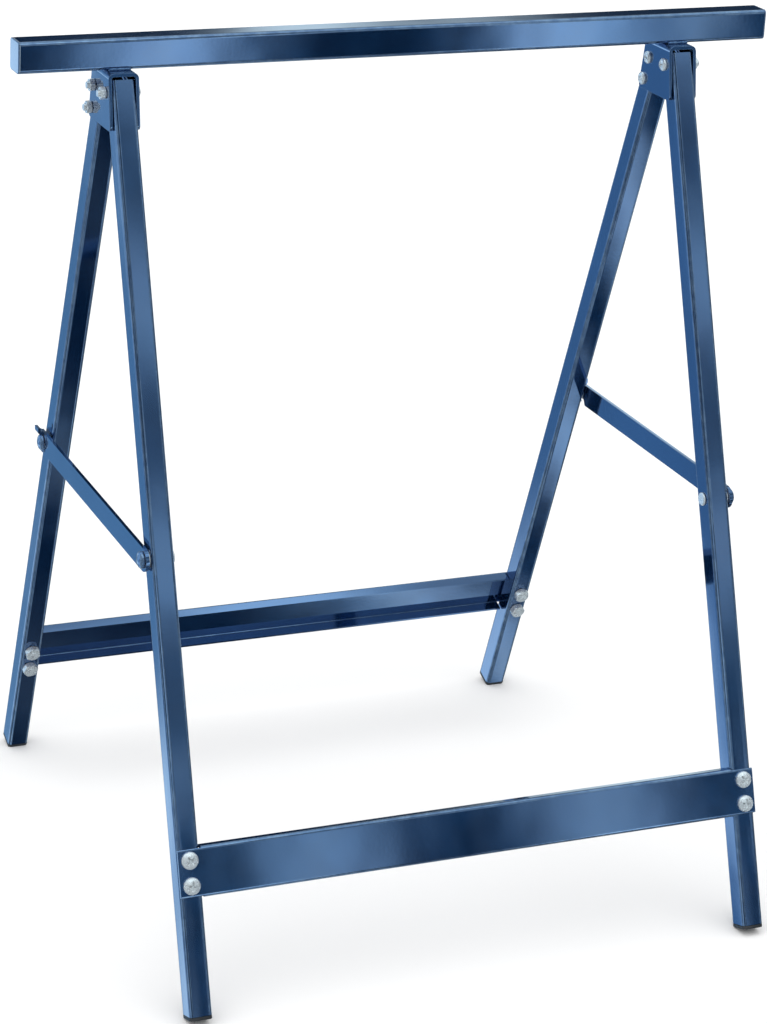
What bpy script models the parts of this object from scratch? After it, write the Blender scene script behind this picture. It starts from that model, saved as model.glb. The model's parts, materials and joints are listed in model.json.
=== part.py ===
"""Folding sawhorse in painted steel tube.

X runs along the top beam, the front legs stand on the -Y side and +Z is up. The origin is on
the floor, under the middle of the beam. Units are metres. The stand (beam, head brackets and
back legs) is fixed, the front legs fold back about the front head bolts, and a flat brace on
each side turns on a front leg and hooks over a stud on the back leg.
"""

import math

import bmesh
import bpy
from mathutils import Matrix, Vector

# Overall sizes
STAND_HEIGHT = 0.781
BEAM_LENGTH = 0.700
LEG_SPREAD = 0.544           # over the outer faces of the left and right legs
LEAN = math.radians(19.6)    # each leg leans this much from the vertical
FOLD_TRAVEL = math.radians(38.0)

# Fits
GAP = 0.0003                 # between pieces that touch
SIDE_GAP = 0.0004            # each side of a leg in its bracket
HOLE_PLAY = 0.0003           # a hole's radius over its bolt's radius
HOOK_PLAY = 0.0006           # the hook's half width over the stud's radius

# Tubes
BEAM_DEPTH = 0.025
BEAM_HEIGHT = 0.027
BEAM_WALL = 0.0015
BEAM_CORNER = 0.0035
END_PLATE = 0.0015
LEG_WIDTH = 0.020
LEG_DEPTH = 0.022
LEG_WALL = 0.0015
LEG_CORNER = 0.0035

# Head brackets
BRACKET_SHEET = 0.003
BRACKET_BEND = 0.005         # outer bend radius
BRACKET_HEIGHT = 0.048
BRACKET_TOP_HALF = 0.0225
BRACKET_FOOT_HALF = 0.031
BRACKET_CORNER = 0.004
PIVOT_OFFSET = 0.0149        # from the beam's middle plane to a head bolt
PIVOT_DROP = 0.018           # from the beam's underside to the upper head bolts
LEG_ABOVE_PIVOT = 0.009
LOWER_BOLT_DROP = 0.0223     # from the upper to the lower bolt, along the back leg

# Feet
FOOT_FLANGE = 0.003
FOOT_PLUG_LENGTH = 0.022

# Rails, placed by their distance up the leg from its foot
RAIL_SHEET = 0.002
RAIL_HEIGHT = 0.0428
RAIL_FLANGE = 0.012
RAIL_BEND = 0.003
FRONT_RAIL_OVERHANG = 0.0    # past the outer face of each leg
BACK_RAIL_OVERHANG = -0.002
RAIL_NOTCH = 0.001           # from a leg to where the flanges start
RAIL_TAB_HEIGHT = 0.040      # of the web where it lies on a leg
FRONT_RAIL_RISE = 0.1236
BACK_RAIL_RISE = 0.1199
RAIL_SCREW_SPACING = 0.0214

# Braces
BRACE_DROP = 0.3905          # down the leg from the head bolt
BRACE_SHEET = 0.003
BRACE_WIDTH = 0.0205
BRACE_STOW = math.pi / 2 - LEAN    # the swing that lays it along the front leg
HOOK_MOUTH = 0.0015          # how much wider each side of the hook is at its mouth
HOOK_END = 0.0115            # from the stud to the end of the brace
HOOK_CORNER = 0.005
TAB_LENGTH = 0.011
TAB_END = 0.001              # from the tab to the end of the brace
TAB_REACH = 0.0045
TAB_LIP = 0.0035
TAB_SHEET = 0.0024

# Fasteners
BOLT_RADIUS = 0.004
HEAD_RADIUS = 0.0075
HEAD_HEIGHT = 0.0046
HEAD_RIM = 0.0011
RECESS_SPAN = 0.0082
RECESS_WIDTH = 0.0020
RECESS_TIP_WIDTH = 0.0014
RECESS_DEPTH = 0.0024
NUT_ACROSS_FLATS = 0.013
NUT_HEIGHT = 0.006
WASHER_RADIUS = 0.008
WASHER_SHEET = 0.0012        # and the thickness of the stud's shoulder
HEAD_BOLT_SCALE = 0.77       # of the head bolts and their nuts beside the rails' fasteners
HEAD_BOLT_END = 0.0022       # of thread past the nut
RAIL_SCREW_END = 0.0012
RIVET_TAIL_RADIUS = 0.006    # of the head that is formed on the inner side of the leg
RIVET_TAIL_HEIGHT = 0.0018
STUD_SHOULDER_RADIUS = 0.0065
STUD_COLLAR_RADIUS = 0.0055  # of the collar that grips the leg's wall from inside
STUD_COLLAR_HEIGHT = 0.002

ROUND_STEPS = 12             # sides of a bolt, a hole or a screw head
CROWN_STEPS = 3              # rings of a screw's domed head
CORNER_STEPS = 3             # facets of a rounded corner

# Worked out from the sizes above
BEAM_UNDERSIDE = STAND_HEIGHT - BEAM_HEIGHT
PIVOT_HEIGHT = BEAM_UNDERSIDE - PIVOT_DROP
LEG_REACH = (PIVOT_HEIGHT - LEG_DEPTH / 2 * math.sin(LEAN)) / math.cos(LEAN)
LEG_LENGTH = LEG_REACH + LEG_ABOVE_PIVOT - FOOT_FLANGE - GAP
LEG_MIDDLE = (LEG_SPREAD - LEG_WIDTH) / 2
HOLE_RADIUS = BOLT_RADIUS + HOLE_PLAY
HEAD_HOLE_RADIUS = BOLT_RADIUS * HEAD_BOLT_SCALE + HOLE_PLAY
BRACE_SPAN = 2 * (PIVOT_OFFSET + BRACE_DROP * math.sin(LEAN))
BRACE_INNER_FACE = LEG_SPREAD / 2 + WASHER_SHEET + 2 * GAP
BRACE_MIDDLE = BRACE_INNER_FACE + BRACE_SHEET / 2
BRACE_RATIO = BRACE_STOW / FOLD_TRAVEL

ALONG_X = Matrix(((0, 0, 1), (1, 0, 0), (0, 1, 0))).to_4x4()
ALONG_Y = Matrix.Rotation(math.radians(90), 4, "X")
SIDES = (("left", -1), ("right", 1))

BLUE_ENAMEL = ((0.035, 0.085, 0.21), 0.3, 0.28)
BRIGHT_ZINC = ((0.72, 0.73, 0.75), 1.0, 0.25)
BLACK_PLASTIC = ((0.02, 0.02, 0.024), 0.0, 0.5)


# Scene and materials

def clear_scene():
    for old in list(bpy.data.objects):
        bpy.data.objects.remove(old, do_unlink=True)


def new_collection(name):
    collection = bpy.data.collections.new(name)
    bpy.context.scene.collection.children.link(collection)
    return collection


def finish_material(name, finish):
    colour, metallic, roughness = finish
    material = bpy.data.materials.new(name)
    material.use_nodes = True
    shader = material.node_tree.nodes["Principled BSDF"]
    shader.inputs["Base Color"].default_value = (*colour, 1.0)
    shader.inputs["Metallic"].default_value = metallic
    shader.inputs["Roughness"].default_value = roughness
    return material


# Meshes

def evaluated_mesh(obj):
    """The object's mesh with its modifiers or its curve fill, welded."""
    bpy.context.view_layer.update()
    depsgraph = bpy.context.evaluated_depsgraph_get()
    mesh = bpy.data.meshes.new_from_object(obj.evaluated_get(depsgraph))
    mesh.transform(obj.matrix_world)
    mesh.materials.clear()
    welded = bmesh.new()
    welded.from_mesh(mesh)
    bmesh.ops.remove_doubles(welded, verts=welded.verts, dist=1e-6)
    welded.to_mesh(mesh)
    welded.free()
    return mesh


def arc(centre, radius, start, end, steps):
    """Points on an arc, both ends included; angles in degrees."""
    points = []
    for step in range(steps + 1):
        angle = math.radians(start + (end - start) * step / steps)
        points.append((centre[0] + radius * math.cos(angle), centre[1] + radius * math.sin(angle)))
    return points


def rounded_rectangle(width, height, radius):
    right = width / 2 - radius
    top = height / 2 - radius
    corners = ((right, top, 0), (-right, top, 90), (-right, -top, 180), (right, -top, 270))
    points = []
    for x, y, start in corners:
        points += arc((x, y), radius, start, start + 90, CORNER_STEPS)
    return points


def slab(outlines, thickness):
    """A flat outline, with any further outlines as holes, thickened along Z about Z = 0."""
    curve = bpy.data.curves.new("outline", "CURVE")
    curve.dimensions = "2D"
    curve.fill_mode = "BOTH"
    curve.extrude = thickness / 2
    for outline in outlines:
        spline = curve.splines.new("POLY")
        spline.points.add(len(outline) - 1)
        spline.use_cyclic_u = True
        for point, (x, y) in zip(spline.points, outline):
            point.co = (x, y, 0.0, 1.0)
    holder = bpy.data.objects.new("outline", curve)
    bpy.context.scene.collection.objects.link(holder)
    mesh = evaluated_mesh(holder)
    bpy.data.objects.remove(holder, do_unlink=True)
    bpy.data.curves.remove(curve)
    return mesh


def tube(width, depth, wall, corner, length):
    outer = rounded_rectangle(width, depth, corner)
    inner = rounded_rectangle(width - 2 * wall, depth - 2 * wall, corner - wall)
    return slab([outer, inner], length)


def moved(mesh, *matrices):
    for matrix in matrices:
        mesh.transform(matrix)
    return mesh


def shift(x=0.0, y=0.0, z=0.0):
    return Matrix.Translation((x, y, z))


def joined(*meshes):
    """One mesh of several bodies that stand apart."""
    whole = bmesh.new()
    for mesh in meshes:
        whole.from_mesh(mesh)
    result = bpy.data.meshes.new("joined")
    whole.to_mesh(result)
    whole.free()
    return result


def rods(places, radius, length, direction):
    """Round bars through the places (x, y, z), for bolt holes; direction is ALONG_X or ALONG_Y."""
    whole = bmesh.new()
    for place in places:
        matrix = Matrix.Translation(place) @ direction
        bmesh.ops.create_cone(
            whole, cap_ends=True, segments=ROUND_STEPS, radius1=radius, radius2=radius,
            depth=length, matrix=matrix)
    mesh = bpy.data.meshes.new("rods")
    whole.to_mesh(mesh)
    whole.free()
    return mesh


def turned(profile):
    """A solid turned about Z from (radius, height) points that run from its top to its bottom."""
    mesh = bpy.data.meshes.new("profile")
    points = [(radius, 0.0, height) for radius, height in profile]
    edges = [(index, index + 1) for index in range(len(points) - 1)]
    mesh.from_pydata(points, edges, [])
    holder = bpy.data.objects.new("turned", mesh)
    bpy.context.scene.collection.objects.link(holder)
    screw = holder.modifiers.new("turn", "SCREW")
    screw.steps = ROUND_STEPS
    screw.render_steps = ROUND_STEPS
    screw.use_merge_vertices = True
    screw.merge_threshold = 0.00001
    result = evaluated_mesh(holder)
    bpy.data.objects.remove(holder, do_unlink=True)
    return result


def combined(mesh, tool, operation):
    """The mesh cut by, cut to or joined with the tool."""
    holder = bpy.data.objects.new("body", mesh)
    tool_holder = bpy.data.objects.new("tool", tool)
    for obj in (holder, tool_holder):
        bpy.context.scene.collection.objects.link(obj)
    boolean = holder.modifiers.new(operation.lower(), "BOOLEAN")
    boolean.operation = operation
    boolean.object = tool_holder
    result = evaluated_mesh(holder)
    for obj in (holder, tool_holder):
        bpy.data.objects.remove(obj, do_unlink=True)
    return result


# Placing

def frame_empty(name, location, angle, parent=None):
    empty = bpy.data.objects.new(name, None)
    PARTS.objects.link(empty)
    empty.location = location
    empty.rotation_euler = (angle, 0.0, 0.0)
    empty.parent = parent
    return empty


def place(name, mesh, finish, parent=None, location=(0.0, 0.0, 0.0), rotation=(0.0, 0.0, 0.0)):
    """A piece with its own material; a mesh may be shared by several pieces."""
    obj = bpy.data.objects.new(name, mesh)
    PARTS.objects.link(obj)
    obj.parent = parent
    obj.location = location
    obj.rotation_euler = rotation
    if not mesh.materials:
        mesh.materials.append(None)
    mesh.shade_smooth()
    mesh.set_sharp_from_angle(angle=math.radians(35))
    obj.material_slots[0].link = "OBJECT"
    obj.material_slots[0].material = finish_material(name + "_finish", finish)
    return obj


def cut(obj, mesh):
    """Cut a placed piece with a mesh that is given in the piece's own frame."""
    cutter = bpy.data.objects.new(obj.name + "_cutter", mesh)
    CUTTERS.objects.link(cutter)
    cutter.parent = obj
    cutter.hide_render = True
    cutter.display_type = "WIRE"
    boolean = obj.modifiers.new("holes", "BOOLEAN")
    boolean.operation = "DIFFERENCE"
    boolean.object = cutter
    return cutter


# Fasteners

def cross_recess():
    """A cross with arms that narrow towards their tips, standing on Z = 0."""
    tip = RECESS_TIP_WIDTH / 2
    root = RECESS_WIDTH / 2
    outline = []
    for quarter in range(4):
        turn = Matrix.Rotation(quarter * math.pi / 2, 2)
        for point in ((RECESS_SPAN / 2, -tip), (RECESS_SPAN / 2, tip), (root, root)):
            outline.append(tuple(turn @ Vector(point)))
    return moved(slab([outline], 2 * RECESS_DEPTH), shift(z=RECESS_DEPTH))


def domed_head():
    """The profile of a head that stands on Z = 0, from its top to its rim."""
    crown = HEAD_HEIGHT - HEAD_RIM
    profile = [(0.0, HEAD_HEIGHT)]
    for radius, height in arc((0.0, 0.0), 1.0, 90, 0, CROWN_STEPS)[1:]:
        profile.append((HEAD_RADIUS * radius, HEAD_RIM + crown * height))
    profile.append((HEAD_RADIUS, 0.0))
    return profile


def pan_screw(length):
    """A domed screw: the head stands on Z = 0 and the shank runs down to -length."""
    profile = domed_head() + [(BOLT_RADIUS, 0.0), (BOLT_RADIUS, -length), (0.0, -length)]
    recess = moved(cross_recess(), shift(z=HEAD_HEIGHT - RECESS_DEPTH))
    return combined(turned(profile), recess, "DIFFERENCE")


def circle(radius):
    last = 360 - 360 / ROUND_STEPS
    return arc((0.0, 0.0), radius, 0, last, ROUND_STEPS - 1)


def hex_nut():
    corner = NUT_ACROSS_FLATS / 2 / math.cos(math.radians(30))
    six_corners = arc((0.0, 0.0), corner, 0, 300, 5)
    return moved(slab([six_corners, circle(HOLE_RADIUS)], NUT_HEIGHT), shift(z=NUT_HEIGHT / 2))


def brace_rivet():
    """A pin with a domed head on Z = 0 and a flat tail past the far side of the leg."""
    far_side = -(BRACE_SHEET + WASHER_SHEET + LEG_WIDTH + 4 * GAP)
    end = far_side - RIVET_TAIL_HEIGHT
    profile = domed_head() + [(BOLT_RADIUS, 0.0), (BOLT_RADIUS, far_side)]
    profile += [(RIVET_TAIL_RADIUS, far_side), (RIVET_TAIL_RADIUS - RIVET_TAIL_HEIGHT / 2, end), (0.0, end)]
    return turned(profile)


def hook_stud():
    """A headed pin with a shoulder on the leg and a collar inside it, for the hook to drop over."""
    shoulder = -(BRACE_SHEET + 2 * GAP)
    leg_side = shoulder - WASHER_SHEET
    inside = leg_side - LEG_WALL - 2 * GAP
    end = inside - STUD_COLLAR_HEIGHT
    profile = domed_head() + [(BOLT_RADIUS, 0.0), (BOLT_RADIUS, shoulder)]
    profile += [(STUD_SHOULDER_RADIUS, shoulder), (STUD_SHOULDER_RADIUS, leg_side)]
    profile += [(BOLT_RADIUS, leg_side), (BOLT_RADIUS, inside)]
    profile += [(STUD_COLLAR_RADIUS, inside), (STUD_COLLAR_RADIUS, end), (0.0, end)]
    return turned(profile)


def flat_washer():
    rings = [circle(WASHER_RADIUS), circle(HOLE_RADIUS)]
    return moved(slab(rings, WASHER_SHEET), shift(z=WASHER_SHEET / 2))


# Beam and head brackets

def make_beam():
    length = BEAM_LENGTH - 2 * (END_PLATE + GAP)
    middle = STAND_HEIGHT - BEAM_HEIGHT / 2
    mesh = moved(tube(BEAM_DEPTH, BEAM_HEIGHT, BEAM_WALL, BEAM_CORNER, length), ALONG_X)
    place("top_beam", mesh, BLUE_ENAMEL, location=(0.0, 0.0, middle))
    outline = rounded_rectangle(BEAM_DEPTH, BEAM_HEIGHT, BEAM_CORNER)
    plate = moved(slab([outline], END_PLATE), ALONG_X)
    for side, sign in SIDES:
        x = sign * (BEAM_LENGTH - END_PLATE) / 2
        place("beam_end_plate_" + side, plate, BLUE_ENAMEL, location=(x, 0.0, middle))


def bracket_section():
    """The bracket's bent sheet seen from the front: a U that opens downwards."""
    outer = LEG_WIDTH / 2 + SIDE_GAP + BRACKET_SHEET
    inner = outer - BRACKET_SHEET
    inner_bend = BRACKET_BEND - BRACKET_SHEET
    points = [(-outer, -BRACKET_HEIGHT)]
    points += arc((-outer + BRACKET_BEND, -BRACKET_BEND), BRACKET_BEND, 180, 90, CORNER_STEPS)
    points += arc((outer - BRACKET_BEND, -BRACKET_BEND), BRACKET_BEND, 90, 0, CORNER_STEPS)
    points += [(outer, -BRACKET_HEIGHT), (inner, -BRACKET_HEIGHT)]
    points += arc((inner - inner_bend, -BRACKET_BEND), inner_bend, 0, 90, CORNER_STEPS)
    points += arc((-inner + inner_bend, -BRACKET_BEND), inner_bend, 90, 180, CORNER_STEPS)
    points.append((-inner, -BRACKET_HEIGHT))
    return points


def bracket_side():
    """The bracket's outline seen from the side, wider at the foot and round at its corners."""
    slope = math.atan2(BRACKET_FOOT_HALF - BRACKET_TOP_HALF, BRACKET_HEIGHT)
    above = BRACKET_SHEET
    top_half = BRACKET_TOP_HALF - above * math.tan(slope)
    inset = BRACKET_CORNER * math.tan((math.pi / 2 + slope) / 2)
    centre = (BRACKET_FOOT_HALF - inset, -BRACKET_HEIGHT + BRACKET_CORNER)
    lean = math.degrees(slope)
    right = arc(centre, BRACKET_CORNER, lean, -90, CORNER_STEPS)
    left = [(-y, z) for y, z in reversed(right)]
    return [(-top_half, above), (top_half, above)] + right + left


def head_bolt_places():
    """Where each head's bolts stand, as (name, y, z)."""
    lower_y = PIVOT_OFFSET + LOWER_BOLT_DROP * math.sin(LEAN)
    lower_z = PIVOT_HEIGHT - LOWER_BOLT_DROP * math.cos(LEAN)
    return (
        ("front", -PIVOT_OFFSET, PIVOT_HEIGHT), ("upper", PIVOT_OFFSET, PIVOT_HEIGHT),
        ("lower", lower_y, lower_z))


def make_heads(bolt, nut):
    top = BEAM_UNDERSIDE - GAP
    section = moved(slab([bracket_section()], 2 * BRACKET_FOOT_HALF + GAP), ALONG_Y)
    side_shape = moved(slab([bracket_side()], 2 * LEG_WIDTH), ALONG_X)
    bracket = combined(section, side_shape, "INTERSECT")
    grip = LEG_WIDTH / 2 + SIDE_GAP + BRACKET_SHEET + GAP
    for side, sign in SIDES:
        x = sign * LEG_MIDDLE
        obj = place("head_bracket_" + side, bracket, BLUE_ENAMEL, location=(x, 0.0, top))
        places = [(0.0, y, z - top) for _, y, z in head_bolt_places()]
        cut(obj, rods(places, HEAD_HOLE_RADIUS, 2 * LEG_WIDTH, ALONG_X))
        for name, y, z in head_bolt_places():
            inward = (0.0, -sign * math.pi / 2, 0.0)
            outward = (0.0, sign * math.pi / 2, 0.0)
            place(f"head_bolt_{side}_{name}", bolt, BRIGHT_ZINC,
                  location=(x - sign * grip, y, z), rotation=inward)
            place(f"head_nut_{side}_{name}", nut, BRIGHT_ZINC,
                  location=(x + sign * grip, y, z), rotation=outward)


# Leg frames. Each hangs from an empty at its head bolts, with +Z up along the legs, and its
# outer face is on the side that "out" gives: -1 for the front legs and 1 for the back legs.

def rail_section():
    """The rail's bent sheet in (out, up): the web's outer face is at 0, the flanges run to -."""
    half = RAIL_HEIGHT / 2
    bend = RAIL_BEND
    inner_bend = RAIL_BEND - RAIL_SHEET
    sheet = RAIL_SHEET
    points = [(-RAIL_FLANGE, half)]
    points += arc((-bend, half - bend), bend, 90, 0, CORNER_STEPS)
    points += arc((-bend, -half + bend), bend, 0, -90, CORNER_STEPS)
    points += [(-RAIL_FLANGE, -half), (-RAIL_FLANGE, -half + sheet)]
    points += arc((-bend, -half + bend), inner_bend, -90, 0, CORNER_STEPS)
    points += arc((-bend, half - bend), inner_bend, 0, 90, CORNER_STEPS)
    points.append((-RAIL_FLANGE, half - sheet))
    return points


def rail_notch():
    """What is cut from a rail's end, in (out, up), to leave a flat tab of the web."""
    tab = RAIL_TAB_HEIGHT / 2
    past = RAIL_HEIGHT
    inner = -2 * RAIL_FLANGE
    outer = RAIL_FLANGE
    return [
        (inner, -past), (outer, -past), (outer, -tab), (-RAIL_SHEET, -tab),
        (-RAIL_SHEET, tab), (outer, tab), (outer, past), (inner, past)]


def make_rail(name, parent, out, drop, overhang, screw, nut):
    length = LEG_SPREAD + 2 * overhang
    web_face = LEG_DEPTH / 2 + GAP + RAIL_SHEET
    turn = (0.0, 0.0, 0.0 if out > 0 else math.pi)
    mesh = moved(slab([rail_section()], length), ALONG_X)
    rail = place(name, mesh, BLUE_ENAMEL, parent, (0.0, out * web_face, -drop), turn)
    notch_start = LEG_SPREAD / 2 - LEG_WIDTH - RAIL_NOTCH
    notch_length = length / 2 - notch_start + GAP
    notches = []
    for _, sign in SIDES:
        middle = sign * (notch_start + notch_length / 2)
        notches.append(moved(slab([rail_notch()], notch_length), ALONG_X, shift(x=middle)))
    cut(rail, joined(*notches))
    places = []
    for side, sign in SIDES:
        for level, up in (("upper", 1), ("lower", -1)):
            z = up * RAIL_SCREW_SPACING / 2
            places.append((sign * LEG_MIDDLE, 0.0, z))
            label = f"{name}_{{}}_{side}_{level}"
            head_y = out * (web_face + GAP)
            nut_y = -out * (LEG_DEPTH / 2 + GAP)
            place(label.format("screw"), screw, BRIGHT_ZINC, parent,
                  (sign * LEG_MIDDLE, head_y, z - drop), (-out * math.pi / 2, 0.0, 0.0))
            place(label.format("nut"), nut, BRIGHT_ZINC, parent,
                  (sign * LEG_MIDDLE, nut_y, z - drop), (out * math.pi / 2, 0.0, 0.0))
    cut(rail, rods(places, HOLE_RADIUS, 4 * RAIL_SHEET, ALONG_Y))


def foot_plug():
    """A plug that closes a leg: a flange the size of the tube and a shank inside it."""
    flange = slab([rounded_rectangle(LEG_WIDTH, LEG_DEPTH, LEG_CORNER)], FOOT_FLANGE)
    wall = LEG_WALL + GAP
    bore = rounded_rectangle(LEG_WIDTH - 2 * wall, LEG_DEPTH - 2 * wall, LEG_CORNER - wall)
    overlap = FOOT_FLANGE / 2
    shank = moved(slab([bore], FOOT_PLUG_LENGTH + overlap), shift(z=(FOOT_PLUG_LENGTH + overlap) / 2))
    return combined(flange, shank, "UNION")


def make_leg_frame(name, parent, out, rail_rise, overhang, bolt_drops, rivets, studs, screw, nut, plug):
    """Two legs with their feet and rail.

    bolt_drops are the distances down to the head bolts, rivets those down to the brace rivets,
    and studs those down to the hook studs, which go through the leg's outer wall alone.
    """
    rail_drop = LEG_REACH - rail_rise
    leg_mesh = moved(
        tube(LEG_WIDTH, LEG_DEPTH, LEG_WALL, LEG_CORNER, LEG_LENGTH),
        shift(z=LEG_ABOVE_PIVOT - LEG_LENGTH / 2))
    for side, sign in SIDES:
        x = sign * LEG_MIDDLE
        leg = place(f"{name}_leg_{side}", leg_mesh, BLUE_ENAMEL, parent, (x, 0.0, 0.0))
        bolt_holes = [(0.0, 0.0, -drop) for drop in bolt_drops]
        rivet_holes = [(0.0, 0.0, -drop) for drop in rivets]
        rail_holes = []
        for up in (1, -1):
            rail_holes.append((0.0, 0.0, up * RAIL_SCREW_SPACING / 2 - rail_drop))
        stud_holes = [(sign * LEG_WIDTH / 2, 0.0, -drop) for drop in studs]
        holes = joined(
            rods(bolt_holes, HEAD_HOLE_RADIUS, 2 * LEG_WIDTH, ALONG_X),
            rods(rivet_holes, HOLE_RADIUS, 2 * LEG_WIDTH, ALONG_X),
            rods(stud_holes, HOLE_RADIUS, 4 * LEG_WALL, ALONG_X),
            rods(rail_holes, HOLE_RADIUS, 2 * LEG_DEPTH, ALONG_Y))
        cut(leg, holes)
        foot_z = -LEG_REACH + FOOT_FLANGE / 2
        place(f"foot_plug_{name}_{side}", plug, BLACK_PLASTIC, parent, (x, 0.0, foot_z))
    make_rail(f"{name}_rail", parent, out, rail_drop, overhang, screw, nut)


# Braces

def hook_direction():
    """The way the stud leaves the hook in (along, up) as the front frame starts to fold.

    The front leg carries the brace's bolt, and the brace lifts by BRACE_RATIO as the leg turns.
    """
    bolt = Vector((-BRACE_DROP * math.sin(LEAN), -BRACE_DROP * math.cos(LEAN)))
    stud_move = Vector((bolt.y, -bolt.x))
    lift = Vector((0.0, BRACE_SPAN)) * (1 + BRACE_RATIO)
    return (stud_move - lift).normalized()


def hook_slot():
    """The slot in (along, up) from the stud's seat to past the brace's lower edge."""
    radius = BOLT_RADIUS + HOOK_PLAY
    seat = Vector((BRACE_SPAN, 0.0))
    way = hook_direction()
    heading = math.degrees(math.atan2(way.y, way.x))
    mouth = seat + way * BRACE_WIDTH
    beside = Vector((-way.y, way.x))
    points = arc(seat, radius, heading + 90, heading + 270, 2 * CORNER_STEPS)
    points.append(tuple(mouth - beside * (radius + HOOK_MOUTH)))
    points.append(tuple(mouth + beside * (radius + HOOK_MOUTH)))
    return points


def brace_outline():
    """Round about the rivet, and square with rounded corners past the stud."""
    half = BRACE_WIDTH / 2
    end = BRACE_SPAN + HOOK_END - HOOK_CORNER
    corner = half - HOOK_CORNER
    points = arc((0.0, 0.0), half, 90, 270, 2 * CORNER_STEPS)
    points += arc((end, -corner), HOOK_CORNER, -90, 0, CORNER_STEPS)
    points += arc((end, corner), HOOK_CORNER, 0, 90, CORNER_STEPS)
    return points


def thumb_tab():
    """A lug bent out of the brace's upper edge past the stud, with a short lip, in (out, up)."""
    top = BRACE_WIDTH / 2 - GAP
    under = top - TAB_SHEET
    out = BRACE_SHEET / 2 + TAB_REACH
    bend = TAB_SHEET
    section = [(0.0, under)]
    section += arc((out - bend, under + bend), bend, -90, 0, CORNER_STEPS)
    section += [(out, top + TAB_LIP), (out - TAB_SHEET, top + TAB_LIP), (out - TAB_SHEET, top), (0.0, top)]
    middle = BRACE_SPAN + HOOK_END - TAB_END - TAB_LENGTH / 2
    return moved(slab([section], TAB_LENGTH), ALONG_Y, shift(y=middle))


def brace_mesh(sign):
    bar = moved(slab([brace_outline()], BRACE_SHEET), ALONG_X)
    tab = thumb_tab()
    if sign < 0:
        mirrored = bmesh.new()
        mirrored.from_mesh(tab)
        bmesh.ops.scale(mirrored, vec=(-1.0, 1.0, 1.0), verts=mirrored.verts)
        bmesh.ops.reverse_faces(mirrored, faces=mirrored.faces)
        mirrored.to_mesh(tab)
        mirrored.free()
    return combined(bar, tab, "UNION")


def make_braces(front_frame, back_frame, rivet, stud, washer):
    washer_face = LEG_SPREAD / 2 + GAP
    head_face = BRACE_MIDDLE + BRACE_SHEET / 2 + GAP
    for side, sign in SIDES:
        hinge = frame_empty(
            f"brace_{side}_hinge", (sign * BRACE_MIDDLE, 0.0, -BRACE_DROP), LEAN, front_frame)
        brace = place(f"brace_{side}", brace_mesh(sign), BLUE_ENAMEL, hinge)
        slot = moved(slab([hook_slot()], 4 * BRACE_SHEET), ALONG_X)
        cut(brace, joined(slot, rods([(0.0, 0.0, 0.0)], HOLE_RADIUS, 4 * BRACE_SHEET, ALONG_X)))
        outward = (0.0, sign * math.pi / 2, 0.0)
        place("brace_rivet_" + side, rivet, BRIGHT_ZINC, front_frame,
              (sign * head_face, 0.0, -BRACE_DROP), outward)
        place("brace_washer_" + side, washer, BRIGHT_ZINC, front_frame,
              (sign * washer_face, 0.0, -BRACE_DROP), outward)
        place("hook_stud_" + side, stud, BRIGHT_ZINC, back_frame,
              (sign * head_face, 0.0, -BRACE_DROP), outward)


# The whole stand

clear_scene()
PARTS = new_collection("folding_sawhorse")
CUTTERS = new_collection("cutters")

head_grip = LEG_WIDTH + 2 * (SIDE_GAP + BRACKET_SHEET + GAP)
rail_grip = RAIL_SHEET + LEG_DEPTH + 3 * GAP
head_bolt_length = head_grip + NUT_HEIGHT * HEAD_BOLT_SCALE + HEAD_BOLT_END
HEAD_SIZE = Matrix.Scale(HEAD_BOLT_SCALE, 4)
HEAD_BOLT = moved(pan_screw(head_bolt_length / HEAD_BOLT_SCALE), HEAD_SIZE)
HEAD_NUT = moved(hex_nut(), HEAD_SIZE)
SCREW = pan_screw(rail_grip + NUT_HEIGHT + RAIL_SCREW_END)
NUT = hex_nut()
PLUG = foot_plug()

back = frame_empty("back_frame", (0.0, PIVOT_OFFSET, PIVOT_HEIGHT), LEAN)
front = frame_empty("front_frame_hinge", (0.0, -PIVOT_OFFSET, PIVOT_HEIGHT), -LEAN)
make_beam()
make_heads(HEAD_BOLT, HEAD_NUT)
make_leg_frame(
    "back", back, 1, BACK_RAIL_RISE, BACK_RAIL_OVERHANG, (0.0, LOWER_BOLT_DROP), (),
    (BRACE_DROP,), SCREW, NUT, PLUG)
make_leg_frame(
    "front", front, -1, FRONT_RAIL_RISE, FRONT_RAIL_OVERHANG, (0.0,), (BRACE_DROP,), (),
    SCREW, NUT, PLUG)
make_braces(front, back, brace_rivet(), hook_stud(), flat_washer())
bpy.context.view_layer.update()
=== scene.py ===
import json
import math

import bmesh
import bpy
from mathutils import Matrix, Vector


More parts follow.
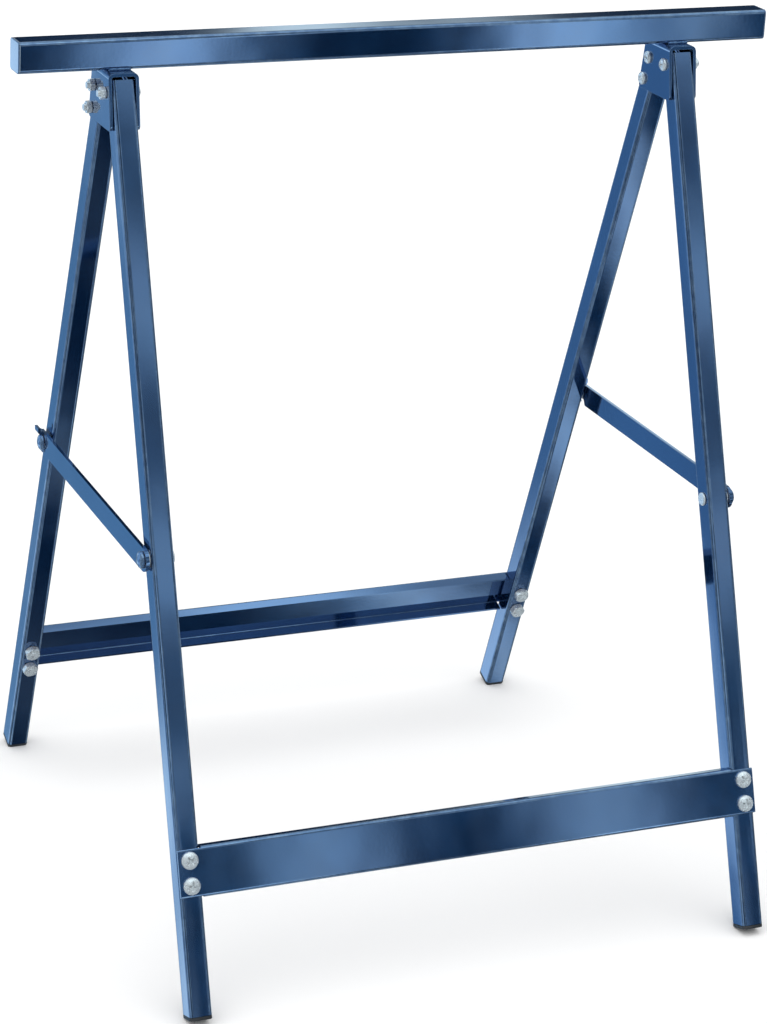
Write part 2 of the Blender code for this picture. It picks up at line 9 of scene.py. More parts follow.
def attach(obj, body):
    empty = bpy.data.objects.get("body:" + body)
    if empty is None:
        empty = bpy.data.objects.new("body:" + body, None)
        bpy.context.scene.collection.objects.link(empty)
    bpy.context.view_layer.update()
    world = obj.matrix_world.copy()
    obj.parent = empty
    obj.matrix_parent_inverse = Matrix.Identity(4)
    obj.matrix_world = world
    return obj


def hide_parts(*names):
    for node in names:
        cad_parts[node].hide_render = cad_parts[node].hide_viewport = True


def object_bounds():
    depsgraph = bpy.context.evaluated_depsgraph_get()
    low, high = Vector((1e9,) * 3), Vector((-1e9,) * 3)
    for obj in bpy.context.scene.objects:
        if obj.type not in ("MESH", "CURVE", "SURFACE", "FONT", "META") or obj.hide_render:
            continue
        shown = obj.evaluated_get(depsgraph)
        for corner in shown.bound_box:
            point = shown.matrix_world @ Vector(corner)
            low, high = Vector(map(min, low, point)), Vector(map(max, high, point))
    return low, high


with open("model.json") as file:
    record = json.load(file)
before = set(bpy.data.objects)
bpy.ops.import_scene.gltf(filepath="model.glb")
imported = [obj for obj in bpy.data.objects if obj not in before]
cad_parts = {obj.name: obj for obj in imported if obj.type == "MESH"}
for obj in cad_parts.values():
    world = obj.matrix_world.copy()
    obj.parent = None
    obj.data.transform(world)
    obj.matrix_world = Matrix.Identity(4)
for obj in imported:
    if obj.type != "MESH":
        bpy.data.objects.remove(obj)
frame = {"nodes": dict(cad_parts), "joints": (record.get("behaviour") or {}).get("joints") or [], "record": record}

cad_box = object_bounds()

# Sheet and tube sizes
BEAM_WALL = 0.0015
BEAM_CORNER = 0.0035
LEG_WALL = 0.0015
LEG_CORNER = 0.0035
BRACKET_SHEET = 0.003
BRACKET_BEND = 0.005
BRACKET_CORNER = 0.004
RAIL_SHEET = 0.002
RAIL_BEND = 0.003
RAIL_TAB_HEIGHT = 0.040
RAIL_NOTCH = 0.001
FOOT_FLANGE = 0.003
PLUG_EASE = 0.001            # of a plug's shank inside its ribs
PLUG_CORNER = 0.0015
RIB_SHEET = 0.0015
RIB_DROPS = (0.003, 0.008, 0.013)
TAB_SHEET = 0.0024
TAB_LENGTH = 0.011
TAB_END = 0.001
TAB_REACH = 0.0045
TAB_LIP = 0.0035
HOOK_CORNER = 0.005
HOOK_PLAY = 0.0006
HOOK_MOUTH = 0.0015

# Fasteners
BOLT_RADIUS = 0.004
HOLE_RADIUS = 0.0043
HEAD_BOLT_SCALE = 0.77       # of the head bolts and their nuts beside the rails' fasteners
HEAD_HOLE_RADIUS = 0.0034
HEAD_RADIUS = 0.0075
HEAD_HEIGHT = 0.0046
HEAD_RIM = 0.0011
RECESS_SPAN = 0.0084
RECESS_WIDTH = 0.0019
RECESS_DEPTH = 0.0026
THREAD_PITCH = 0.00125
THREAD_DEPTH = 0.0006
THREAD_LENGTH = 0.012
HEAD_BOLT_PITCH = 0.001
RIVET_TAIL_RADIUS = 0.006
RIVET_TAIL_HEIGHT = 0.0018
STUD_SHOULDER_RADIUS = 0.0065
STUD_COLLAR_RADIUS = 0.0055
STUD_COLLAR_HEIGHT = 0.002
NUT_ACROSS_FLATS = 0.013
NUT_HEIGHT = 0.006
BORE_PLAY = 0.0001
WASHER_SHEET = 0.0012
GAP = 0.0003
TURNED_EASE = 0.0002         # of a turned piece's corners

# Welds between the saddles and the beam
WELD_INSET = 0.0006
WELD_END = 0.005
WELD_LIFT = 0.0009
WELD_RIPPLE = 0.0011
WELD_RADIUS = 0.0014
BEAD_SIZES = (0.88, 1.12)

BEND_STEPS = 8               # facets of a bend or a rounded corner
ROUND_STEPS = 48             # sides of a turned piece
HOLE_STEPS = 24              # sides of a drilled hole
EDGE_RADIUS = 0.0003         # of a cut sheet's edges
EDGE_FACE = 0.0012           # widest face that is still part of a bend or a broken edge
MERGE_DISTANCE = 1e-6
ALONG_X = Matrix(((0, 0, 1), (1, 0, 0), (0, 1, 0))).to_4x4()
ALONG_Y = Matrix.Rotation(math.radians(90), 4, "X")
SIDES = (("left", -1), ("right", 1))

# Colours
DEEP_BLUE = (0.018, 0.088, 0.245, 1.0)
CLEAR_BLUE = (0.030, 0.120, 0.300, 1.0)
BLUE_FLAKE = (0.13, 0.24, 0.44, 1.0)
# painted highlight colour for the enamel's corners and broken edges
EDGE_HIGHLIGHT_BLUE = (0.30, 0.42, 0.60, 1.0)
RUBBED_BLUE = (0.55, 0.60, 0.68, 1.0)
FRESH_ZINC = (0.95, 0.95, 0.95, 1.0)
DULL_ZINC = (0.87, 0.88, 0.89, 1.0)
ZINC_SPECK = (0.30, 0.30, 0.30, 1.0)
DARK_PLASTIC = (0.016, 0.017, 0.020, 1.0)
GREY_PLASTIC = (0.034, 0.035, 0.040, 1.0)
SCUFFED_PLASTIC = (0.13, 0.13, 0.14, 1.0)
ROOM_GREY = (0.50, 0.50, 0.50, 1.0)
BACKDROP = (0.97, 0.97, 0.97, 1.0)

# The studio that the enamel mirrors, in degrees right of straight ahead and above level
DEGREES = 180.0 / math.pi
PANEL_MIDDLE = 23.1          # the dark between the two upright panels
PANEL_SPACING = 3.2          # from there to each panel
PANEL_WIDTH = 1.4
STRIP_PLACE = 6.4            # of a narrow strip right of the panels
STRIP_WIDTH = 0.7
TIER_HEIGHT = 18.95          # of one of the tiers above the panels
TIER_PERIOD = 5.2
TIER_TILT = 0.18
ROW_HEIGHT = -47.7           # of one of the rows near the floor
ROW_PERIOD = 4.45
ROW_MIDDLE = 37.0
CLOUD_SCALE = 7.5
MIRROR_LEVEL = 1.5
MIRROR_TINT = (0.80, 0.99, 1.06)
MIRROR_LEAST = (0.003, 0.012, 0.034)
SIDE_LIGHT = (0.13, 0.30, 0.52)
FLOOR_RADIUS = 16.0

# Places, all from the frame
PINS = {joint["name"]: Vector(joint["pos_m"]) for joint in frame["joints"]}
HEAD_PIN = PINS["front_frame_fold"]
BRACE_PIN = PINS["brace_right_swing"]
LEAN = math.atan2(HEAD_PIN.y - BRACE_PIN.y, HEAD_PIN.z - BRACE_PIN.z)
BRACE_DROP = (HEAD_PIN.zy - BRACE_PIN.zy).length


def leg_space(out):
    """The space of a leg pair: +Z up along the legs from the head bolt, out = 1 at the back."""
    at_head = Matrix.Translation((0.0, -out * HEAD_PIN.y, HEAD_PIN.z))
    return at_head @ Matrix.Rotation(out * LEAN, 4, "X")


LEG_SPACES = {"back": leg_space(1), "front": leg_space(-1)}
LEVEL = Matrix.Identity(4)


def reach(node, space=LEVEL):
    """The lowest and highest corners of a frame node, measured in a space."""
    inverse = space.inverted()
    points = [inverse @ vertex.co for vertex in frame["nodes"][node].data.vertices]
    low = Vector([min(point[i] for point in points) for i in range(3)])
    high = Vector([max(point[i] for point in points) for i in range(3)])
    return low, high


# Shapes

def arc(centre, radius, start, end, steps):
    points = []
    for number in range(steps + 1):
        angle = math.radians(start + (end - start) * number / steps)
        points.append((centre[0] + radius * math.cos(angle), centre[1] + radius * math.sin(angle)))
    return points


def rounded_rectangle(width, height, corner):
    x = width / 2 - corner
    y = height / 2 - corner
    points = arc((x, y), corner, 0, 90, BEND_STEPS) + arc((-x, y), corner, 90, 180, BEND_STEPS)
    points += arc((-x, -y), corner, 180, 270, BEND_STEPS) + arc((x, -y), corner, 270, 360, BEND_STEPS)
    return points


def slab(outline, thickness):
    """A flat piece with that outline in XY and its middle plane on Z = 0."""
    work = bmesh.new()
    base = work.faces.new([work.verts.new((x, y, -thickness / 2)) for x, y in outline])
    grown = bmesh.ops.extrude_face_region(work, geom=[base], use_keep_orig=True)
    top = [item for item in grown["geom"] if isinstance(item, bmesh.types.BMVert)]
    bmesh.ops.translate(work, verts=top, vec=(0.0, 0.0, thickness))
    return tidy_mesh(work)


def tidy_mesh(work):
    """Closes a working mesh: doubles merged, faces outward."""
    bmesh.ops.remove_doubles(work, verts=work.verts, dist=MERGE_DISTANCE)
    bmesh.ops.recalc_face_normals(work, faces=work.faces)
    mesh = bpy.data.meshes.new("shape")
    work.to_mesh(mesh)
    work.free()
    return mesh


def turned(profile):
    """A piece turned about Z from its profile of (radius, height), top to bottom."""
    work = bmesh.new()
    verts = [work.verts.new((radius, 0.0, height)) for radius, height in profile]
    edges = [work.edges.new(pair) for pair in zip(verts, verts[1:])]
    bmesh.ops.spin(
        work, geom=verts + edges, cent=(0, 0, 0), axis=(0, 0, 1), angle=math.tau, steps=ROUND_STEPS)
    return tidy_mesh(work)


def moved(mesh, *matrices):
    copy = mesh.copy()
    for matrix in matrices:
        copy.transform(matrix)
    return copy


def joined(meshes):
    work = bmesh.new()
    for mesh in meshes:
        work.from_mesh(mesh)
    mesh = bpy.data.meshes.new("shape")
    work.to_mesh(mesh)
    work.free()
    return mesh


def rods(places, radius, length, turn):
    """Round bars of a length centred on each place."""
    outline = arc((0.0, 0.0), radius, 0, 360 - 360 / HOLE_STEPS, HOLE_STEPS - 1)
    bar = moved(slab(outline, length), turn)
    return joined([moved(bar, Matrix.Translation(place)) for place in places])


def placed(name, data):
    """A new object in the scene."""
    obj = bpy.data.objects.new(name, data)
    bpy.context.scene.collection.objects.link(obj)
    return obj


def applied(mesh, steps):
    """The mesh after some modifiers, each given as its kind and its settings."""
    obj = placed("work", mesh)
    tools = []
    for kind, settings in steps:
        modifier = obj.modifiers.new(kind.lower(), kind)
        for name, value in settings.items():
            if isinstance(value, bpy.types.Mesh):
                value = placed("tool", value)
                tools.append(value)
            setattr(modifier, name, value)
    depsgraph = bpy.context.evaluated_depsgraph_get()
    result = bpy.data.meshes.new_from_object(obj.evaluated_get(depsgraph))
    for item in tools + [obj]:
        bpy.data.objects.remove(item)
    return result


def boolean(mesh, tool, operation="DIFFERENCE"):
    return applied(mesh, [("BOOLEAN", {"object": tool, "operation": operation, "solver": "EXACT"})])


def eased(mesh, radius=EDGE_RADIUS):
    """Breaks every sharp edge of a cut sheet."""
    settings = {
        "width": radius, "segments": 2, "limit_method": "ANGLE", "angle_limit": math.radians(38)}
    return applied(mesh, [("BEVEL", settings)])


def mark_edges(mesh):
    """Stores 1 on rounded corners and broken edges and 0 on flats, for wear and painted highlight lines."""
    work = bmesh.new()
    work.from_mesh(mesh)
    layer = work.verts.layers.float.new("edge")
    for vert in work.verts:
        widths = [
            face.calc_area() / max(edge.calc_length() for edge in face.edges)
            for face in vert.link_faces]
        vert[layer] = 1.0 if widths and max(widths) < EDGE_FACE else 0.0
    work.to_mesh(mesh)
    work.free()


def finished(name, mesh, body, material, nodes):
    """Shades a mesh, gives it its material, and puts it on its body in place of its nodes."""
    for polygon in mesh.polygons:
        polygon.use_smooth = True
    mesh = applied(mesh, [("WEIGHTED_NORMAL", {"weight": 80, "keep_sharp": True})])
    mark_edges(mesh)
    mesh.materials.clear()
    mesh.materials.append(material)
    mesh.name = name
    piece = placed(name, mesh)
    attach(piece, body)
    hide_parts(*nodes)
    return piece


# Node trees

def feed(tree, socket, value):
    if isinstance(value, bpy.types.NodeSocket):
        tree.links.new(value, socket)
    else:
        socket.default_value = value


def step(tree, kind, inputs=None, output=0, **settings):
    """Adds a node, sets it up, feeds its inputs by name or number and gives one output."""
    node = tree.nodes.new(kind)
    for name, value in settings.items():
        setattr(node, name, value)
    for key, value in (inputs or {}).items():
        feed(tree, node.inputs[key], value)
    return node.outputs[output]


def calc(tree, operation, a, b=0.0, c=0.0):
    values = {0: a, 1: b}
    if operation == "MULTIPLY_ADD":
        values[2] = c
    return step(tree, "ShaderNodeMath", values, operation=operation)


def times(tree, a, b):
    return calc(tree, "MULTIPLY", a, b)


def parts_of(tree, vector):
    """The x, y and z of a vector."""
    node = tree.nodes.new("ShaderNodeSeparateXYZ")
    tree.links.new(vector, node.inputs[0])
    return node.outputs[:3]


def gathered(tree, *parts):
    node = tree.nodes.new("GeometryNodeJoinGeometry")
    for part in parts:
        tree.links.new(part, node.inputs[0])
    return node.outputs[0]


def carved(tree, operation, tools, mesh=None):
    node = tree.nodes.new("GeometryNodeMeshBoolean")
    node.operation = operation
    node.solver = "EXACT"
    if mesh is not None:
        tree.links.new(mesh, node.inputs["Mesh 1"])
    for tool in tools:
        tree.links.new(tool, node.inputs["Mesh 2"])
    return node.outputs[0]


def hump(tree, value, width):
    """1 where the value is 0, falling smoothly to almost nothing at twice the width."""
    share = calc(tree, "DIVIDE", value, width)
    return calc(tree, "EXPONENT", times(tree, times(tree, share, share), -1.0))


def ripple(tree, value, period):
    """Soft rows, one each period of the value, with one where it is 0."""
    wave = calc(tree, "COSINE", times(tree, value, math.tau / period))
    return calc(tree, "POWER", calc(tree, "MULTIPLY_ADD", wave, 0.5, 0.5), 1.3)


def mixed_value(tree, factor, first, second):
    kept = times(tree, first, calc(tree, "SUBTRACT", 1.0, factor))
    return calc(tree, "MULTIPLY_ADD", second, factor, kept)


def remap(tree, value, low, high, to_low, to_high):
    values = {"Value": value, "From Min": low, "From Max": high, "To Min": to_low, "To Max": to_high}
    return step(tree, "ShaderNodeMapRange", values, interpolation_type="SMOOTHSTEP")


def new_tree(name, inputs):
    """A geometry tree with named inputs, and the socket of each."""
    tree = bpy.data.node_groups.new(name, "GeometryNodeTree")
    for label, kind, value in inputs:
        socket = tree.interface.new_socket(label, in_out="INPUT", socket_type="NodeSocket" + kind)
        if value is not None:
            socket.default_value = value
    tree.interface.new_socket("Geometry", in_out="OUTPUT", socket_type="NodeSocketGeometry")
    entry = tree.nodes.new("NodeGroupInput")
    return tree, {socket.name: socket for socket in entry.outputs if socket.name}


def close_tree(tree, geometry, material):
    whole = step(tree, "GeometryNodeRealizeInstances", {0: geometry})
    painted = step(tree, "GeometryNodeSetMaterial", {"Geometry": whole, "Material": material})
    exit_node = tree.nodes.new("NodeGroupOutput")
    tree.links.new(painted, exit_node.inputs[0])


def grown(tree, base, values):
    """The plain mesh that a tree makes from a base mesh and its inputs' values."""
    obj = placed("work", base)
    modifier = obj.modifiers.new("tree", "NODES")
    modifier.node_group = tree
    for item in tree.interface.items_tree:
        if item.in_out == "INPUT" and item.name in values:
            modifier[item.identifier] = values[item.name]
    depsgraph = bpy.context.evaluated_depsgraph_get()
    result = bpy.data.meshes.new_from_object(obj.evaluated_get(depsgraph))
    obj.modifiers.remove(modifier)
    bpy.data.objects.remove(obj)
    work = bmesh.new()
    work.from_mesh(result)
    bmesh.ops.remove_doubles(work, verts=work.verts, dist=MERGE_DISTANCE)
    bmesh.ops.recalc_face_normals(work, faces=work.faces)
    work.to_mesh(result)
    work.free()
    return result


def tube_tree():
    """Rectangular tube with rounded corners, standing on Z = 0 and open at both ends."""
    tree, given = new_tree("tube_stock", (
        ("Width", "Float", 0.02), ("Depth", "Float", 0.02), ("Wall", "Float", 0.0015),
        ("Corner", "Float", 0.003), ("Corner Steps", "Int", BEND_STEPS), ("Length", "Float", 0.5),
        ("Material", "Material", None)))
    rings = []
    for inset in (0.0, 2.0):
        less = times(tree, given["Wall"], inset)
        width = calc(tree, "SUBTRACT", given["Width"], less)
        depth = calc(tree, "SUBTRACT", given["Depth"], less)
        radius = calc(tree, "SUBTRACT", given["Corner"], times(tree, less, 0.5))
        outline = step(
            tree, "GeometryNodeCurvePrimitiveQuadrilateral", {"Width": width, "Height": depth})
        rings.append(step(
            tree, "GeometryNodeFilletCurve",
            {"Curve": outline, "Radius": radius, "Count": given["Corner Steps"]}, mode="POLY"))
    end = step(
        tree, "GeometryNodeFillCurve", {"Curve": gathered(tree, *rings)}, mode="TRIANGLES")
    along = step(tree, "ShaderNodeCombineXYZ", {"Z": given["Length"]})
    walls = step(
        tree, "GeometryNodeExtrudeMesh",
        {"Mesh": end, "Offset": along, "Offset Scale": 1.0, "Individual": False}, mode="FACES")
    flipped = step(tree, "GeometryNodeFlipFaces", {"Mesh": end})
    whole = gathered(tree, walls, flipped)
    merged = step(
        tree, "GeometryNodeMergeByDistance", {"Geometry": whole, "Distance": 10 * MERGE_DISTANCE})
    close_tree(tree, merged, given["Material"])
    return tree


def on_places(tree, points, shape):
    """Stands a shape on every point, turned to its axis and then about it."""
    axis = step(tree, "GeometryNodeInputNamedAttribute", {"Name": "axis"}, data_type="FLOAT_VECTOR")
    turn = step(tree, "GeometryNodeInputNamedAttribute", {"Name": "turn"}, data_type="FLOAT")
    aim = step(tree, "FunctionNodeAlignRotationToVector", {"Vector": axis}, axis="Z")
    spin = step(
        tree, "FunctionNodeAxisAngleToRotation", {"Axis": (0.0, 0.0, 1.0), "Angle": turn})
    rotation = step(
        tree, "FunctionNodeRotateRotation", {"Rotation": aim, "Rotate By": spin},
        rotation_space="LOCAL")
    return step(
        tree, "GeometryNodeInstanceOnPoints",
        {"Points": points, "Instance": shape, "Rotation": rotation})


def reshaped(tree, mesh, x=None, y=None, z=None):
    """Moves each vertex to what the makers give for its x, y and z."""
    old = parts_of(tree, step(tree, "GeometryNodeInputPosition"))
    made = [maker(*old) if maker else old[i] for i, maker in enumerate((x, y, z))]
    place = step(tree, "ShaderNodeCombineXYZ", dict(enumerate(made)))
    return step(tree, "GeometryNodeSetPosition", {"Geometry": mesh, "Position": place})


def screw_tree():
    """Pan-head screws with a cross recess and a rolled thread, heads standing on the points."""
    tree, given = new_tree("pan_head_screws", (
        ("Geometry", "Geometry", None), ("Head Radius", "Float", HEAD_RADIUS),
        ("Head Height", "Float", HEAD_HEIGHT), ("Rim", "Float", HEAD_RIM),
        ("Shank Radius", "Float", BOLT_RADIUS), ("Length", "Float", 0.03),
        ("Plain Length", "Float", 0.02), ("Pitch", "Float", THREAD_PITCH),
        ("Thread Depth", "Float", THREAD_DEPTH), ("Recess Span", "Float", RECESS_SPAN),
        ("Recess Width", "Float", RECESS_WIDTH), ("Recess Depth", "Float", RECESS_DEPTH),
        ("Material", "Material", None)))
    ball = step(
        tree, "GeometryNodeMeshUVSphere",
        {"Segments": 48, "Rings": 24, "Radius": given["Head Radius"]})
    crown = calc(tree, "SUBTRACT", given["Head Height"], given["Rim"])

    def dome(x, y, z):
        share = calc(tree, "DIVIDE", calc(tree, "MAXIMUM", z, 0.0), given["Head Radius"])
        above = calc(tree, "GREATER_THAN", z, -1e-6)
        rise = calc(tree, "MULTIPLY_ADD", share, crown, given["Rim"])
        return times(tree, rise, above)

    head = reshaped(tree, ball, z=dome)
    floor = calc(tree, "SUBTRACT", given["Head Height"], given["Recess Depth"])

    def narrowed(value, z):
        depth = calc(tree, "DIVIDE", calc(tree, "SUBTRACT", z, floor), given["Recess Depth"])
        return times(tree, value, calc(tree, "MULTIPLY_ADD", depth, 0.35, 0.65))

    cutters = []
    for first, second in (("Recess Span", "Recess Width"), ("Recess Width", "Recess Span")):
        size = step(
            tree, "ShaderNodeCombineXYZ",
            {0: given[first], 1: given[second], 2: times(tree, given["Recess Depth"], 2.0)})
        bar = step(
            tree, "GeometryNodeMeshCube",
            {"Size": size, "Vertices X": 2, "Vertices Y": 2, "Vertices Z": 2})
        lift = step(
            tree, "ShaderNodeCombineXYZ",
            {2: calc(tree, "ADD", floor, given["Recess Depth"])})
        raised = step(tree, "GeometryNodeTransform", {"Geometry": bar, "Translation": lift})
        cutters.append(reshaped(
            tree, raised, x=lambda x, y, z: narrowed(x, z), y=lambda x, y, z: narrowed(y, z)))
    head = carved(tree, "DIFFERENCE", cutters, head)
    shank = step(
        tree, "GeometryNodeMeshCylinder",
        {"Vertices": 24, "Side Segments": 160, "Radius": given["Shank Radius"],
         "Depth": given["Length"]})
    half = times(tree, given["Length"], -0.5)
    hang = step(tree, "ShaderNodeCombineXYZ", {2: half})
    hung = step(tree, "GeometryNodeTransform", {"Geometry": shank, "Translation": hang})

    def thread(x, y, z):
        turns = calc(tree, "DIVIDE", calc(tree, "ARCTAN2", y, x), math.tau)
        phase = calc(tree, "FRACT", calc(tree, "ADD", turns, calc(tree, "DIVIDE", z, given["Pitch"])))
        groove = calc(tree, "ABSOLUTE", calc(tree, "MULTIPLY_ADD", phase, 2.0, -1.0))
        cut_here = calc(tree, "LESS_THAN", z, times(tree, given["Plain Length"], -1.0))
        depth = times(tree, times(tree, groove, given["Thread Depth"]), cut_here)
        return calc(tree, "SUBTRACT", 1.0, calc(tree, "DIVIDE", depth, given["Shank Radius"]))

    threaded = reshaped(
        tree, hung, x=lambda x, y, z: times(tree, x, thread(x, y, z)),
        y=lambda x, y, z: times(tree, y, thread(x, y, z)))
    screw = gathered(tree, head, threaded)
    close_tree(tree, on_places(tree, given["Geometry"], screw), given["Material"])
    return tree


def nut_tree():
    """Hexagon nuts chamfered on both sides, standing on the points."""
    tree, given = new_tree("hexagon_nuts", (
        ("Geometry", "Geometry", None), ("Across Flats", "Float", NUT_ACROSS_FLATS),
        ("Height", "Float", NUT_HEIGHT), ("Bore Radius", "Float", BOLT_RADIUS + BORE_PLAY),
        ("Material", "Material", None)))
    corner = calc(tree, "DIVIDE", given["Across Flats"], math.sqrt(3.0))
    prism = step(
        tree, "GeometryNodeMeshCylinder",
        {"Vertices": 6, "Radius": corner, "Depth": given["Height"]})
    ball = step(tree, "GeometryNodeMeshUVSphere", {"Segments": 60, "Rings": 40, "Radius": 1.0})
    wide = times(tree, given["Across Flats"], 0.65)
    tall = times(tree, given["Height"], 0.76)
    size = step(tree, "ShaderNodeCombineXYZ", {0: wide, 1: wide, 2: tall})
    lens = step(tree, "GeometryNodeTransform", {"Geometry": ball, "Scale": size})
    rounded = carved(tree, "INTERSECT", [prism, lens])
    deep = times(tree, given["Height"], 2.0)
    bore = step(
        tree, "GeometryNodeMeshCylinder",
        {"Vertices": 32, "Radius": given["Bore Radius"], "Depth": deep})
    bored = carved(tree, "DIFFERENCE", [bore], rounded)
    lift = step(tree, "ShaderNodeCombineXYZ", {2: times(tree, given["Height"], 0.5)})
    raised = step(tree, "GeometryNodeTransform", {"Geometry": bored, "Translation": lift})
    close_tree(tree, on_places(tree, given["Geometry"], raised), given["Material"])
    return tree


def weld_tree():
    """A stacked weld bead along each edge of the base mesh."""
    tree, given = new_tree("weld_beads", (
        ("Geometry", "Geometry", None), ("Ripple", "Float", WELD_RIPPLE),
        ("Radius", "Float", WELD_RADIUS), ("Seed", "Int", 3), ("Material", "Material", None)))
    line = step(tree, "GeometryNodeMeshToCurve", {"Mesh": given["Geometry"]})
    stops = step(
        tree, "GeometryNodeResampleCurve", {"Curve": line, "Length": given["Ripple"]}, mode="LENGTH")
    drop = step(tree, "GeometryNodeMeshIcoSphere", {"Radius": given["Radius"], "Subdivisions": 3})
    size = step(
        tree, "FunctionNodeRandomValue",
        {2: BEAD_SIZES[0], 3: BEAD_SIZES[1], "Seed": given["Seed"]}, output=1, data_type="FLOAT")
    beads = step(
        tree, "GeometryNodeInstanceOnPoints", {"Points": stops, "Instance": drop, "Scale": size})
    close_tree(tree, beads, given["Material"])
    return tree


# Materials

def new_material(name):
    material = bpy.data.materials.new(name)
    material.use_nodes = True
    tree = material.node_tree
    shader = next(node for node in tree.nodes if node.bl_idname == "ShaderNodeBsdfPrincipled")
    place = step(tree, "ShaderNodeTexCoord", output="Object")
    return material, tree, shader, place


def noise(tree, place, scale, detail=2.0, rough=0.5):
    return step(
        tree, "ShaderNodeTexNoise",
        {"Vector": place, "Scale": scale, "Detail": detail, "Roughness": rough})


def blend(tree, factor, first, second):
    node = tree.nodes.new("ShaderNodeMix")
    node.data_type = "RGBA"
    feed(tree, node.inputs[0], factor)
    feed(tree, node.inputs[6], first)
    feed(tree, node.inputs[7], second)
    return node.outputs[2]


def bumped(tree, *layers):
    """Stacks bumps given as (height, strength, distance)."""
    normal = None
    for height, strength, distance in layers:
        values = {"Height": height, "Strength": strength, "Distance": distance}
        if normal is not None:
            values["Normal"] = normal
        normal = step(tree, "ShaderNodeBump", values)
    return normal


def edge_mark(tree):
    return step(tree, "ShaderNodeAttribute", output="Fac", attribute_name="edge")


def blue_enamel():
    """Glossy metallic blue enamel: cloudy depth, flake, orange peel, a painted highlight on the corners."""
    material, tree, shader, place = new_material("blue_enamel")
    cloud = remap(tree, noise(tree, place, 7.0, 3.0), 0.35, 0.65, 0.0, 1.0)
    depth = blend(tree, cloud, DEEP_BLUE, CLEAR_BLUE)
    flake = remap(tree, noise(tree, place, 2600.0, 1.0), 0.45, 0.75, 0.0, 0.05)
    flaked = blend(tree, flake, depth, BLUE_FLAKE)
    ragged = remap(tree, noise(tree, place, 90.0, 4.0, 0.7), 0.35, 0.7, 0.25, 1.0)
    # painted highlight: rounded corners and broken edges are lightened towards a pale blue in place of the light
    # lines they catch
    edge_highlight = times(tree, edge_mark(tree), ragged)
    lit = blend(tree, times(tree, edge_highlight, 0.55), flaked, EDGE_HIGHLIGHT_BLUE)
    scuff = remap(tree, noise(tree, place, 420.0, 5.0, 0.75), 0.66, 0.78, 0.0, 0.35)
    worn = times(tree, edge_mark(tree), scuff)
    feed(tree, shader.inputs["Base Color"], blend(tree, worn, lit, RUBBED_BLUE))
    smear = remap(tree, noise(tree, place, 26.0, 4.0), 0.3, 0.7, 0.055, 0.085)
    feed(tree, shader.inputs["Roughness"], calc(tree, "MULTIPLY_ADD", worn, 0.2, smear))
    shader.inputs["Metallic"].default_value = 0.92
    shader.inputs["Coat Weight"].default_value = 1.0
    shader.inputs["Coat IOR"].default_value = 1.9
    haze = remap(tree, noise(tree, place, 60.0), 0.3, 0.7, 0.02, 0.045)
    feed(tree, shader.inputs["Coat Roughness"], haze)
    peel = noise(tree, place, 320.0, 2.0)
    wave = noise(tree, place, 16.0, 1.0)
    normal = bumped(tree, (wave, 0.04, 0.004), (peel, 0.012, 0.0004), (scuff, 0.02, 0.0002))
    feed(tree, shader.inputs["Normal"], normal)
    feed(tree, shader.inputs["Coat Normal"], normal)
    return material


def bright_zinc():
    """Bright zinc plate with a faint grain, dull blotches and dark specks."""
    material, tree, shader, place = new_material("bright_zinc")
    blotch = remap(tree, noise(tree, place, 180.0, 3.0), 0.35, 0.65, 0.0, 1.0)
    plate = blend(tree, blotch, FRESH_ZINC, DULL_ZINC)
    speck = remap(tree, noise(tree, place, 900.0, 3.0, 0.7), 0.64, 0.8, 0.0, 0.12)
    feed(tree, shader.inputs["Base Color"], blend(tree, speck, plate, ZINC_SPECK))
    smear = remap(tree, noise(tree, place, 260.0, 4.0), 0.3, 0.7, 0.22, 0.40)
    feed(tree, shader.inputs["Roughness"], smear)
    shader.inputs["Metallic"].default_value = 0.8
    grain = noise(tree, place, 1400.0, 3.0)
    feed(tree, shader.inputs["Normal"], bumped(tree, (grain, 0.03, 0.0001), (blotch, 0.03, 0.0003)))
    return material


def black_plastic():
    """Moulded black plastic with a fine grain, scuffed most on its edges."""
    material, tree, shader, place = new_material("black_plastic")
    grey = remap(tree, noise(tree, place, 60.0, 4.0), 0.35, 0.7, 0.0, 1.0)
    body = blend(tree, grey, DARK_PLASTIC, GREY_PLASTIC)
    scuff = remap(tree, noise(tree, place, 500.0, 5.0, 0.7), 0.58, 0.75, 0.0, 0.6)
    rubbed = times(tree, scuff, calc(tree, "MULTIPLY_ADD", edge_mark(tree), 0.7, 0.3))
    feed(tree, shader.inputs["Base Color"], blend(tree, rubbed, body, SCUFFED_PLASTIC))
    sheen = remap(tree, noise(tree, place, 200.0, 3.0), 0.3, 0.7, 0.45, 0.62)
    feed(tree, shader.inputs["Roughness"], sheen)
    grain = noise(tree, place, 1100.0, 2.0)
    feed(tree, shader.inputs["Normal"], bumped(tree, (grain, 0.25, 0.0002)))
    return material


def welded_enamel(enamel):
    """The enamel where it sinks into a weld, with less gloss on top."""
    material = enamel.copy()
    material.name = "welded_enamel"
    shader = next(
        node for node in material.node_tree.nodes if node.bl_idname == "ShaderNodeBsdfPrincipled")
    shader.inputs["Coat Weight"].default_value = 0.35
    return material


# Tubes

def stock(tree, width, depth, wall, corner, length, material):
    return grown(tree, bpy.data.meshes.new("seed"), {
        "Width": width, "Depth": depth, "Wall": wall, "Corner": corner, "Length": length,
        "Corner Steps": BEND_STEPS, "Material": material})


